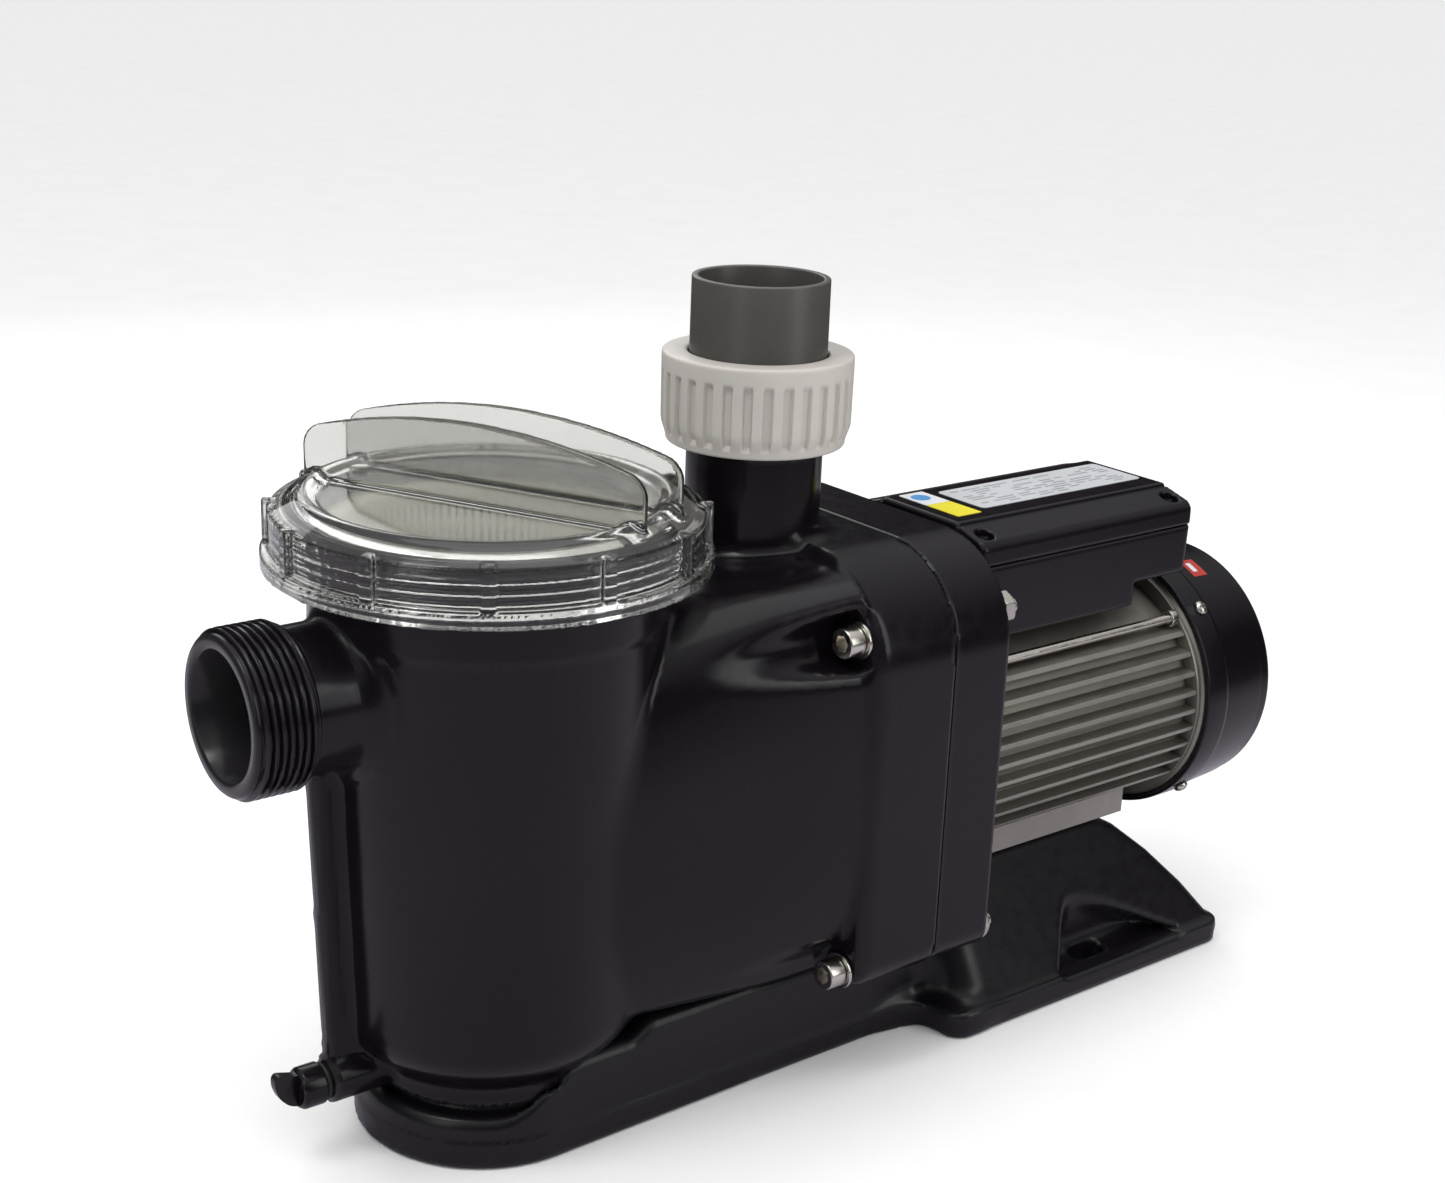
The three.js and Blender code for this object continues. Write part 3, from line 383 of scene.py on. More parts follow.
def add_camera():
    data = bpy.data.cameras.new("camera")
    data.lens, data.sensor_width, data.clip_start, data.clip_end = LENS, SENSOR, 0.05, 20
    camera = bpy.data.objects.new("camera", data)
    bpy.context.scene.collection.objects.link(camera)
    across = math.cos(CAMERA_ELEVATION)
    back = Vector((math.sin(CAMERA_AZIMUTH) * across, -math.cos(CAMERA_AZIMUTH) * across,
                   math.sin(CAMERA_ELEVATION)))
    right = (-back).cross(Vector((0, 0, 1))).normalized()
    up = back.cross(right)
    turned_right = math.cos(CAMERA_ROLL) * right - math.sin(CAMERA_ROLL) * up
    turned_up = math.sin(CAMERA_ROLL) * right + math.cos(CAMERA_ROLL) * up
    turn = Matrix((turned_right, turned_up, back)).transposed()
    camera.matrix_world = Matrix.Translation(CAMERA_PLACE) @ turn.to_4x4()
    bpy.context.scene.camera = camera


OBJECT_MIDDLE = Vector((0.14, 0, 0.15))


def softbox(name, place, width, height, power, toward=OBJECT_MIDDLE, tint=(1, 1, 1)):
    data = bpy.data.lights.new(name, "AREA")
    data.shape, data.size, data.size_y = "RECTANGLE", width, height
    data.energy, data.color = power, tint
    light = bpy.data.objects.new(name, data)
    light.location = place
    light.rotation_euler = (Vector(toward) - Vector(place)).to_track_quat("-Z", "Y").to_euler()
    bpy.context.scene.collection.objects.link(light)


def add_surroundings():
    scene = bpy.context.scene
    scene.view_settings.view_transform = "Standard"
    world = bpy.data.worlds.new("studio")
    world.use_nodes = True
    tree = world.node_tree
    height = put(tree, "ShaderNodeSeparateXYZ", {0: put(tree, "ShaderNodeTexCoord").outputs["Generated"]})
    glow = ranged(tree, height.outputs["Z"], 0, 0.9, 0.22, 1.25)
    # Painted reflection: reflections see a dimmer horizon than the one that lights the scene and is seen
    # straight.
    painted_reflection = ranged(tree, height.outputs["Z"], 0.3, 0.95, 0.02, 1.1)
    strength = put(tree, "ShaderNodeMix", {"Factor": reflected(tree), "A": glow, "B": painted_reflection})
    tree.links.new(strength.outputs["Result"], tree.nodes["Background"].inputs["Strength"])
    tree.nodes["Background"].inputs["Color"].default_value = (1, 1, 1, 1)
    scene.world = world
    softbox("overhead", (0.1, -0.1, 1.6), 1.4, 1.0, 5)
    softbox("left_side", (-1.3, -0.45, 0.75), 0.35, 1.0, 2)
    softbox("right_side", (0.9, -1.5, 0.8), 0.5, 1.2, 6)
    softbox("rear_edge", (0.5, 1.3, 0.9), 1.2, 0.6, 4)
    softbox("upper_left", (-0.66, -0.04, 1.49), 0.45, 0.45, 5)
    bpy.ops.mesh.primitive_plane_add(size=40, location=(0, 0, 0))
    floor = bpy.context.object
    floor.name = "floor"
    floor.data.materials.append(MATERIALS["floor"])


# ---- materials ----

WORN_GREY, WORN_SHARE = 0.75, 0.16
PAINTED_REFLECTION_FADE = (0.75, 1.3)  # metres from the pump's origin, between which the paper's painted reflection tone darkens


def linear(red, green, blue):
    """Linear colour from 8-bit display values."""
    return tuple(((v / 255 + 0.055) / 1.055) ** 2.4 if v > 10 else v / 255 / 12.92
                 for v in (red, green, blue)) + (1.0,)


def toned(colour, factor):
    return tuple(min(1.0, c * factor) for c in colour[:3]) + (1.0,)


def put(tree, kind, inputs=None, **settings):
    """Adds a node with its settings, and links or sets its inputs."""
    made = tree.nodes.new(kind)
    for key, value in settings.items():
        setattr(made, key, value)
    for key, value in (inputs or {}).items():
        if isinstance(value, bpy.types.NodeSocket):
            tree.links.new(value, made.inputs[key])
        else:
            made.inputs[key].default_value = value
    return made


def noise(tree, place, scale, detail=3.0, rough=0.5):
    made = put(tree, "ShaderNodeTexNoise",
               {"Vector": place, "Scale": scale, "Detail": detail, "Roughness": rough})
    return made.outputs["Fac"]


def ranged(tree, value, start, end, low, high):
    """The value mapped from start..end onto low..high, and held there outside."""
    made = put(tree, "ShaderNodeMapRange", {"Value": value, "From Min": start, "From Max": end,
                                            "To Min": low, "To Max": high})
    return made.outputs["Result"]


def mixed(tree, amount, first, second):
    made = put(tree, "ShaderNodeMixRGB", {"Fac": amount, "Color1": first, "Color2": second})
    return made.outputs["Color"]


def finish(name, colour, rough=0.4, spread=0.06, mottle=0.12, grain=900.0, depth=0.05, wear=0.0,
           stretch=(1, 1, 1), sockets=None):
    """Moulded, cast or machined surface.

    rough and spread set the gloss and how much it varies, mottle the colour variation, grain and
    depth the fine texture (features per metre, millimetres), wear how much lighter edges are, and
    stretch the direction of the texture.
    """
    material = bpy.data.materials.new(name)
    material.use_nodes = True
    tree = material.node_tree
    shader = tree.nodes["Principled BSDF"]
    place = put(tree, "ShaderNodeTexCoord").outputs["Object"]
    pulled = put(tree, "ShaderNodeMapping", {"Vector": place, "Scale": stretch}).outputs["Vector"]
    broad = noise(tree, place, 14.0)
    fine = noise(tree, pulled, 160.0, 4.0, 0.6)
    patches = ranged(tree, broad, 0.35, 0.65, 0, 1)
    tone = mixed(tree, patches, toned(colour, 1 - mottle), toned(colour, 1 + mottle))
    edge = put(tree, "ShaderNodeNewGeometry").outputs["Pointiness"]
    worn = ranged(tree, edge, 0.51, 0.58, 0, wear)
    tone = mixed(tree, worn, tone, worn_tone(colour))
    tree.links.new(tone, shader.inputs["Base Color"])
    gloss = ranged(tree, fine, 0.3, 0.7, rough - spread, rough + spread)
    tree.links.new(gloss, shader.inputs["Roughness"])
    relief = noise(tree, pulled, grain, 2.0)
    bump = put(tree, "ShaderNodeBump", {"Height": relief, "Strength": 0.6, "Distance": depth * MM})
    tree.links.new(bump.outputs["Normal"], shader.inputs["Normal"])
    for key, value in (sockets or {}).items():
        shader.inputs[key].default_value = value
    return material


def worn_tone(colour):
    """The lighter tone that worn edges of a colour take."""
    return tuple(c + (WORN_GREY - c) * WORN_SHARE for c in colour[:3]) + (1.0,)


def see_through(name, tint, rough):
    """Clear moulded plastic, which lets light through to what is behind it."""
    material = finish(name, tint, rough, 0.02, 0.02, 120.0, 0.02,
                      sockets={"Transmission Weight": 1.0, "IOR": 1.49})
    tree = material.node_tree
    shader = tree.nodes["Principled BSDF"]
    output = tree.nodes["Material Output"]
    clear = put(tree, "ShaderNodeBsdfTransparent", {"Color": (0.86, 0.88, 0.88, 1)})
    shadow = put(tree, "ShaderNodeLightPath").outputs["Is Shadow Ray"]
    both = put(tree, "ShaderNodeMixShader", {"Fac": shadow})
    tree.links.new(shader.outputs["BSDF"], both.inputs[1])
    tree.links.new(clear.outputs["BSDF"], both.inputs[2])
    tree.links.new(both.outputs["Shader"], output.inputs["Surface"])
    return material


def reflected(tree):
    """1 for what shows in a reflection, 0 for what is seen straight or through clear plastic."""
    path = put(tree, "ShaderNodeLightPath").outputs
    return put(tree, "ShaderNodeMath", {0: path["Is Glossy Ray"], 1: path["Is Transmission Ray"]},
               operation="SUBTRACT", use_clamp=True).outputs["Value"]


def paper(name, colour, painted_reflection):
    """Studio paper, evenly bright when seen straight, which shiny surfaces reflect in a darker painted tone: a
    painted reflection.
    """
    material = finish(name, colour, 0.7, 0.05, 0.01, 60, 0.05)
    tree = material.node_tree
    shader = tree.nodes["Principled BSDF"]
    seen = shader.inputs["Base Color"].links[0].from_socket
    place = put(tree, "ShaderNodeTexCoord").outputs["Object"]
    away = put(tree, "ShaderNodeVectorMath", {0: place}, operation="LENGTH").outputs["Value"]
    # Painted reflection: reflections see the paper in a darker tone, which fades to near black further off.
    faded_painted_reflection = mixed(tree, ranged(tree, away, *PAINTED_REFLECTION_FADE, 0, 1), painted_reflection, toned(painted_reflection, 0.05))
    tree.links.new(mixed(tree, reflected(tree), seen, faded_painted_reflection), shader.inputs["Base Color"])
    return material


METAL = {"Metallic": 1.0}

MATERIALS = {
    "black_plastic": finish("satin_black", linear(15, 11, 16), 0.2, 0.04, 0.14, 900, 0.01, 0.1,
                            sockets={"Specular IOR Level": 0.22}),
    "base_plastic": finish("glossy_black", linear(14, 11, 16), 0.3, 0.04, 0.05, 700, 0.006, 0.1,
                           sockets={"Specular IOR Level": 0.3}),
    "clear_plastic": see_through("clear_lid", linear(206, 206, 203), 0.07),
    "basket_plastic": finish("cream_plastic", linear(218, 212, 194), 0.42, 0.05, 0.05, 900, 0.03, 0.2),
    "nut_plastic": finish("off_white_plastic", linear(186, 181, 175), 0.42, 0.05, 0.05, 900, 0.03, 0.2),
    "grey_plastic": finish("grey_plastic", linear(70, 68, 65), 0.4, 0.05, 0.08, 900, 0.03, 0.4),
    "rubber": finish("rubber", linear(20, 20, 20), 0.62, 0.08, 0.15, 1200, 0.04),
    "ceramic": finish("ceramic", linear(232, 228, 218), 0.25, 0.05, 0.04, 600, 0.01),
    "stainless": finish("stainless", linear(196, 192, 184), 0.24, 0.06, 0.06, 500, 0.004, 0.2, sockets=METAL),
    "core_steel": finish("core_steel", linear(150, 148, 146), 0.38, 0.08, 0.1, 900, 0.02, 0.2,
                         stretch=(30, 1, 1), sockets=METAL),
    "aluminium": finish("cast_aluminium", linear(142, 139, 131), 0.42, 0.08, 0.08, 1100, 0.06, 0.4,
                        sockets={"Metallic": 0.85}),
    "copper": finish("copper", linear(176, 106, 58), 0.36, 0.06, 0.12, 500, 0.15,
                     stretch=(1, 8, 8), sockets=METAL),
    "label": finish("label_silver", linear(186, 188, 192), 0.36, 0.05, 0.03, 700, 0.01),
    "label_white": finish("label_white", linear(214, 216, 220), 0.36, 0.05, 0.03, 700, 0.01),
    "label_grey": finish("label_print", linear(138, 140, 145), 0.4, 0.05, 0.05, 700, 0.01),
    "label_yellow": finish("label_yellow", linear(218, 206, 34), 0.4, 0.05, 0.05, 700, 0.01),
    "label_red": finish("label_red", linear(176, 44, 40), 0.4, 0.05, 0.05, 700, 0.01),
    "label_blue": finish("label_blue", linear(70, 138, 196), 0.4, 0.05, 0.05, 700, 0.01),
    # The second colour is a painted reflection tone, which only reflections see.
    "floor": paper("floor", linear(246, 246, 246), linear(196, 190, 202)),
}

SLOT_OF = {row["node"]: row["material_slot"] for row in frame["record"]["subparts"]}


def piece(name, shape, look, body="root", stands_for=(), slot=None, **mesh):
    """A fine visible piece: its mesh, finish, body and the CAD nodes that it stands for."""
    obj = mesh_object(name, shape, **mesh)
    return dress(obj, look, body, stands_for)


def dress(obj, look, body="root", stands_for=()):
    obj.data.materials.clear()
    obj.data.materials.append(MATERIALS[look])
    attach(obj, body)
    if stands_for:
        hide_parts(*stands_for)
    return obj


def dress_frame():
    """The CAD nodes that stay in view take the finish of their slot."""
    for name, obj in frame["nodes"].items():
        obj.data.materials.clear()
        obj.data.materials.append(MATERIALS[SLOT_OF[name]])


# ---- pump housing ----

POT_HEIGHTS = (41.0, 125.0, 221.0)
POT_RADII = (63.5, 67.0, 70.0)
POT_FLOOR, POT_LOW, POT_STEP_Z, POT_TOP = 25.0, 41.0, 221.0, 241.0
POT_NECK_R, COLLAR_R = 50.0, 71.0
DRUM_Z, DRUM_LOW, CHANNEL_R = 130.0, 48.0, 11.5
PORT_R, PORT_BORE_R, NECK_R, NECK_BORE_R = 29.0, 25.0, 29.0, 25.0
VOLUTE_R, VOLUTE_FRONT, EYE_R = 55.0, 104.0, 20.0
LID_PITCH = 4.2
DRUM_FRONT, DRUM_HALF, DRUM_SPREAD = 15.0, 65.5, 17.2
CROWN_X, CROWN_Z = (15, 50, 95, FLANGE_FRONT), (212, 219, 227, 230)
PAD_R, RIB_HALF, RIB_Z, BOSS_R = 35.0, 3.5, (36, 185), 9.5
NECK_THREAD_R, NECK_THREAD_Z = 32.6, 272.0
CHAMBER_R, CHAMBER_LOW, SUMP_R, SUMP_LOW = 60.5, 47.0, 43.0, 30.0


def pot_solid(x, y, z):
    radius = np.hypot(x, y)
    wall = radius - np.interp(z, POT_HEIGHTS, POT_RADII)
    pot = np.maximum(soft_max(wall, POT_LOW - z, 16), z - POT_STEP_Z)
    foot = between(z, POT_FLOOR, 70)
    pot = soft_min(pot, np.maximum(radius - POT_NECK_R, foot), 14)
    collar = np.maximum(radius - COLLAR_R, between(z, POT_STEP_Z - 0.5, POT_TOP))
    return soft_min(pot, collar, 1.5)


def drum_solid(x, y, z):
    """The volute body: a flat bottom, sides that lean in above and below, and a rounded top."""
    t = np.clip((x - DRUM_FRONT) / (FLANGE_FRONT - DRUM_FRONT), 0, 1)
    under = np.clip((DRUM_Z - z) / 82, 0, 1.2)
    over = np.clip((z - DRUM_Z) / 80, 0, 1.3)
    half = DRUM_HALF + DRUM_SPREAD * t - 17 * under ** 2.3 - (11 - 8 * t) * over ** 1.5
    side = (np.abs(y) - half) * 0.95
    crown = z - np.interp(x, CROWN_X, CROWN_Z)
    body = soft_max(side, crown, 34 - 6 * t)
    body = soft_max(body, DRUM_LOW - z, 9)
    channel = CHANNEL_R - 0.1 * np.maximum(FLANGE_FRONT - 4 - x, 0)
    for bolt_y in (-BOLT_Y, BOLT_Y):
        for bolt_z in BOLT_ZS:
            body = soft_max(body, channel - np.hypot(y - bolt_y, z - bolt_z), 8)
    return np.maximum(body, between(x, 0, FLANGE_FRONT + 2))


def flange_section(y, z, inset=0.0):
    p, q = np.abs(y), z - FLANGE_MID_Z
    radius = np.where(q > 0, FLANGE_TOP_R, FLANGE_LOW_R) - inset
    return round_corner(p, q, FLANGE_HALF - inset, FLANGE_HALF_Z - inset, radius)


def housing_solid(x, y, z):
    pot = pot_solid(x, y, z)
    drum = drum_solid(x, y, z)
    body = soft_min(pot, drum, 2.5)
    flange = soft_max(flange_section(y, z), FLANGE_FRONT - x, 7)
    flange = np.maximum(flange, x - FLANGE_SPLIT)
    body = soft_min(body, flange, 3)
    across = np.hypot(y, z - PORT_Z)
    pad = np.maximum(across - PAD_R, np.hypot(x, y) - np.interp(z, POT_HEIGHTS, POT_RADII) - 1.3)
    body = soft_min(body, np.maximum(pad, x + 20), 1.0)
    body = soft_min(body, np.maximum(across - PORT_R, between(x, HOUSING[0][0] + 20, -30)), 6)
    rib_edge = -75.5 - (z - RIB_Z[0]) * 0.038
    rib = np.maximum(np.abs(y) - RIB_HALF, np.maximum(between(z, *RIB_Z), between(x, rib_edge, -55)))
    body = soft_min(body, rib, 3)
    boss = np.maximum(np.hypot(y, z - DRAIN_Z) - BOSS_R, between(x, DRAIN_FACE, -45))
    body = soft_min(body, boss, 3)
    neck = np.hypot(x - NECK_X, y)
    body = soft_min(body, np.maximum(neck - NECK_R, between(z, 180, NECK_THREAD_Z + 0.5)), 8)
    thread = np.maximum(neck - NECK_THREAD_R, between(z, NECK_THREAD_Z, HOUSING[1][2]))
    return soft_min(body, thread, 1)


def housing_hollow(x, y, z):
    radius = np.hypot(x, y)
    chamber = soft_max(radius - CHAMBER_R, CHAMBER_LOW - z, 12)
    chamber = np.minimum(chamber, np.maximum(radius - SUMP_R, SUMP_LOW - z))
    port = np.maximum(np.hypot(y, z - PORT_Z) - PORT_BORE_R, x + 40)
    drain = np.maximum(np.hypot(y, z - DRAIN_Z) - 5, x + 38)
    shaft = np.hypot(y - SHAFT_Y, z - SHAFT_Z)
    eye = np.maximum(shaft - EYE_R, between(x, 50, VOLUTE_FRONT + 1))
    volute = np.maximum(shaft - VOLUTE_R, VOLUTE_FRONT - x)
    outlet = np.maximum(np.hypot(x - NECK_X, y) - NECK_BORE_R, 165 - z)
    hollow = chamber
    for part in (port, drain, eye, volute, outlet):
        hollow = np.minimum(hollow, part)
    return hollow


def housing_distance(x, y, z):
    return soft_max(housing_solid(x, y, z), -housing_hollow(x, y, z), 1.5)


def make_housing():
    low = np.array(HOUSING[0]) + (22, 0, 0)
    high = np.array([FLANGE_SPLIT, HOUSING[1][1], HOUSING[1][2]])
    body = moulded(housing_distance, low, high, 2.15)
    piece("housing_body", body, "black_plastic", stands_for=["pump_housing"], sharp=None)


def make_suction_thread():
    face, bore, root = HOUSING[0][0], PORT_BORE_R, 30.9
    end = face + 27
    ring = [(bore, end), (bore, face + 0.8), (bore + 0.8, face), (root - 0.8, face), (root, face + 0.8)]
    ring += rows(root, face + 1, face + 25.3) + [(PORT_R, face + 26.5), (PORT_R, end)]
    shape = lathe(ring, 128, "x", 0, 0, PORT_Z, True, helix(root, 3.1, 1.9, face + 0.6, face + 25.3))
    piece("suction_thread", shape, "black_plastic", sharp=50)


def make_lid_thread():
    """The pot's neck: the thread for the lid, and the groove for its seal."""
    low, high, root = POT_TOP, 262.0, 76.4
    bore, groove_in, groove_out, groove_low = 66, 70.6, 75.4, 257.9
    ring = [(bore, high), (groove_in, high), (groove_in, groove_low), (groove_out, groove_low),
            (groove_out, high), (root - 0.6, high), (root, high - 0.6)]
    ring += rows(root, high - 0.8, low + 0.6)
    ring += [(root, low), (69, low), (69, low - 5), (CHAMBER_R, low - 5), (CHAMBER_R, 250), (bore, 250)]
    wave = helix(root, LID_PITCH, 2.6, low + 0.4, high - 0.6)
    piece("lid_thread", lathe(ring, 160, closed=True, wave=wave), "black_plastic", sharp=50)


# ---- strainer lid and basket ----

SKIRT_R, SKIRT_BORE, RIB_R, FLANGE_R = 84.4, 80.2, 87.3, 88.0
CEILING, WINDOW, RING_Z, SHOULDER_Z = 262.5, 266.0, 268.8, 262.5
LID_RIBS, LID_RIB_ANGLE = 12, 27.9
FIN_OFFSET, FIN_HALF, FIN_TURN, FIN_TOP_Z, FIN_CORNER = 15.0, 76.0, -63.2, 298.0, 7.0
LID_SECTION = [
    (-1, CEILING), (78.5, CEILING), (80.6, 260), (SKIRT_BORE, 240.5), (FLANGE_R, 240.5), (FLANGE_R, 246.6),
    (SKIRT_R, 247.2), (SKIRT_R, SHOULDER_Z), (74.5, 267.6), (73, RING_Z), (70, RING_Z), (67, 266.4),
    (65.8, WINDOW), (-1, WINDOW),
]


def lid_distance(x, y, z):
    radius = np.hypot(x, y)
    shell = polygon(radius, z, LID_SECTION) - 0.15
    screw = np.abs(((z / LID_PITCH - np.arctan2(y, x) / (2 * math.pi)) % 1) - 0.5) * LID_PITCH
    groove = np.maximum(np.hypot(radius - SKIRT_BORE, screw) - 1.3, between(z, 243, 259.5))
    shell = np.maximum(shell, -groove)
    turn = 2 * math.pi / LID_RIBS
    angle = (np.arctan2(y, x) - math.radians(LID_RIB_ANGLE) + turn / 2) % turn - turn / 2
    side = radius * np.abs(np.sin(angle))
    rib = round_corner(side, z - 254.8, 2.9, 9.4, 2.0)
    shell = soft_min(shell, soft_max(rib, np.maximum(radius - RIB_R, 82.5 - radius), 0.9), 0.5)
    a = math.radians(FIN_TURN)
    along, across = x * math.cos(a) + y * math.sin(a), -x * math.sin(a) + y * math.cos(a)
    past_end, past_top = np.abs(along) - FIN_HALF, z - (FIN_TOP_Z - 9 * (along / 66) ** 2)
    corner = np.hypot(np.maximum(past_end + FIN_CORNER, 0), np.maximum(past_top + FIN_CORNER, 0))
    edge = np.maximum(np.maximum(past_end, past_top), corner - FIN_CORNER)
    slab = np.abs(np.abs(across) - FIN_OFFSET) - 1.45
    fin = soft_max(np.maximum(edge, 264.5 - z), slab, 1.0)
    return soft_min(shell, fin, 1.6)


def make_lid():
    shell = moulded(lid_distance, LID[0], LID[1], 1.06)
    piece("lid_clear", shell, "clear_plastic", "lid", ["strainer_lid"], sharp=None)
    ring = lathe(round_section(73, 260, 1.7, 12), 128, closed=True)
    piece("lid_seal_ring", ring, "rubber", "lid_seal", ["lid_o_ring"])


def make_basket():
    low, top, wall_high, wall_low = 53.0, 253.0, 58.0, 52.0
    count = 324
    radii = [(8, low), (16, low), (24, low), (32, low), (40, low), (48, low), (wall_low, low + 1)]
    levels = np.linspace(low + 5, top - 4, 49)
    radii += [(wall_low + (wall_high - wall_low) * (h - low) / (top - low), h) for h in levels]
    radii += [(wall_high, top - 2.2), (60, top - 0.3), (65.2, top - 0.3), (65.3, top - 2.4)]

    points, faces = lathe(radii, count)
    middle = np.array([points[f].mean(0) for f in faces])
    angle = np.degrees(np.arctan2(middle[:, 1], middle[:, 0])) % 360
    cell = (angle / (360 / count)).astype(int) % 3
    level = ((middle[:, 2] - low - 5) / (levels[1] - levels[0])).astype(int)
    height = middle[:, 2]
    slot = (cell == 1) & (height > low + 14) & (height < top - 7) & (level % 4 != 0)
    inlet = (middle[:, 0] < 0) & (np.hypot(middle[:, 1], height - PORT_Z) < 22)
    floor_slot = (height < low + 0.5) & (cell == 1)
    keep = [f for f, gone in zip(faces, slot | inlet | floor_slot) if not gone]
    hub = list(range(count))
    obj = piece("basket_mesh", (points, keep + [hub]), "basket_plastic", "basket", ["strainer_basket"],
                sharp=40)
    skin = obj.modifiers.new("wall", "SOLIDIFY")
    skin.thickness, skin.offset = 1.8 * MM, -1


# ---- union ----

NUT_RIBS, NUT_GROOVE, NUT_GROOVE_Z = 30, 1.8, (275.5, 303.5)


def nut_grip(angles, r, h):
    """Grooves between the nut's grip ribs, on its outside only."""
    low, high = NUT_GROOVE_Z
    if r < 37 or not low < h < high + 0.5:
        return 0 * angles
    phase = (angles * NUT_RIBS / (2 * math.pi)) % 1
    raised = ease(phase, 0.0, 0.09) * (1 - ease(phase, 0.55, 0.64))
    return -NUT_GROOVE * (1 - raised) * ease(h, low, low + 2.5) * (1 - ease(h, high - 2.5, high))


def make_union():
    low, high = NUT[0][2] + 0.1, NUT[1][2]
    body = rounded([(29.6, high), (40.4, high), (40.4, 303), (40.2, 281), (38.2, 275), (37.9, low),
                    (33.8, low), (33.8, 305.5), (29.6, 305.5)], 1.6, 4, True)
    dense = []
    for (r0, h0), (r1, h1) in zip(body, body[1:] + body[:1]):
        parts = max(1, int(abs(h1 - h0) / 1.2))
        dense += [(r0 + (r1 - r0) * i / parts, h0 + (h1 - h0) * i / parts) for i in range(parts)]
    nut = lathe(dense, 660, x=NECK_X, closed=True, wave=nut_grip)
    piece("union_nut_body", nut, "nut_plastic", "nut", ["union_nut"], sharp=45)
    high = TAIL[1][2]
    ring = rounded([(25, 299.6), (33, 299.6), (33, 305.1), (29, 305.3), (28.9, high), (26, high),
                    (25.4, high - 12), (25.4, high - 30), (24.4, high - 31)], 0.7, 3, True)
    piece("union_tail_pipe", lathe(ring, 128, x=NECK_X, closed=True), "grey_plastic", "tail",
          ["union_tail"])
    ring = lathe(round_section(28.5, 297.8, 1.3, 10), 96, x=NECK_X, closed=True)
    piece("union_seal_ring", ring, "rubber", "tail", ["union_o_ring"])


# ---- seal plate and casing fasteners ----

def plate_distance(x, y, z):
    body = soft_max(flange_section(y, z, 0.3), between(x, FLANGE_SPLIT + 0.1, FLANGE_REAR), 1.0)
    shaft = np.hypot(y - SHAFT_Y, z - SHAFT_Z)
    hollow = np.minimum(shaft - 9.5, np.maximum(shaft - 16.5, x - 186))
    hollow = np.minimum(hollow, np.maximum(shaft - 52, 191.5 - x))
    bolts = np.hypot(np.abs(y) - BOLT_Y, np.minimum(np.abs(z - BOLT_ZS[0]), np.abs(z - BOLT_ZS[1]))) - 4.6
    return soft_max(body, -np.minimum(hollow, bolts), 0.8)


def hexagon(p, q, flat):
    """Distance to a hexagon, flat being half its width across flats."""
    spread = [np.abs(p * math.cos(a) + q * math.sin(a)) for a in (0, math.pi / 3, 2 * math.pi / 3)]
    return np.maximum(np.maximum(spread[0], spread[1]), spread[2]) - flat


BOLT_R, BOLT_ROOT_R, BOLT_HEAD_R, BOLT_HEAD, SOCKET_R = 3.9, 3.5, 6.4, 8.0, 3.9
BOLT_THREAD_X, BOLT_PITCH = (205.5, 218.4), 1.25
WASHER_BORE_R, WASHER_R = 4.2, 8.0


def make_fasteners():
    face = FLANGE_FRONT - 2.5
    profile = rounded([(0, face - BOLT_HEAD), (BOLT_HEAD_R, face - BOLT_HEAD), (BOLT_HEAD_R, face),
                       (BOLT_R, face), (BOLT_R, 205)], 0.7)
    profile += rows(BOLT_ROOT_R, *BOLT_THREAD_X, 0.25) + [(3.0, 218.9), (0, 218.9)]
    bolt = lathe(profile, 32, "x", wave=helix(BOLT_ROOT_R, BOLT_PITCH, 0.4, *BOLT_THREAD_X))
    socket = prism([polar(SOCKET_R, 60 * i) for i in range(6)], face - 9, face - 3.5)
    near, far = FLANGE_FRONT - 2.2, FLANGE_FRONT - 0.6
    washer = lathe(rounded([(WASHER_BORE_R, near), (WASHER_R, near), (WASHER_R, far), (WASHER_BORE_R, far)],
                           0.4, 2, True), 40, "x", closed=True)

    def nut_distance(x, y, z):
        low, high = FLANGE_REAR + 0.3, FLANGE_REAR + 6.7
        radius = np.hypot(y, z)
        body = np.maximum(hexagon(y, z, 6.5), between(x, low, high))
        cone = radius - 7.5 + 0.6 * np.maximum(np.abs(x - (low + high) / 2) - 2.3, 0) * 2
        return np.maximum(np.maximum(body, cone), 4.5 - radius)
    nut = moulded(nut_distance, (FLANGE_REAR, -8, -8), (FLANGE_REAR + 7, 8, 8), 0.5)
    places = [(y, z) for z in BOLT_ZS for y in (-BOLT_Y, BOLT_Y)]
    for i, (y, z) in enumerate(places, 1):
        obj = mesh_object(f"flange_bolt_{i}", moved(spun(bolt, 25 * i, "X"), y=y, z=z))
        carve(obj, moved(spun(socket, 17 * i, "X"), y=y, z=z))
        shade(obj.data, 38)
        dress(obj, "stainless", stands_for=[f"casing_bolt_{i}"])
        piece(f"flange_washer_{i}", moved(washer, y=y, z=z), "stainless", stands_for=[f"casing_washer_{i}"])
        piece(f"flange_nut_{i}", moved(spun(nut, 20 * i, "X"), y=y, z=z), "stainless",
              stands_for=[f"casing_nut_{i}"], sharp=25)


def make_plate():
    shape = moulded(plate_distance, PLATE[0], PLATE[1], 1.5)
    piece("seal_plate_body", shape, "black_plastic", stands_for=["seal_plate"], sharp=50)


# ---- motor ----

MOTOR_X = (208.3, 347.0)
FIN_ROOT, FIN_TIP, FIN_PITCH, FIN_TOP = 53.4, 59.8, 8.9, 36.0
TIE_ANGLES, TIE_CIRCLE_R = (46, 134), 58.5


def about_shaft(shape, degrees):
    return spun(shape, degrees, "X", (0, SHAFT_Y, SHAFT_Z))


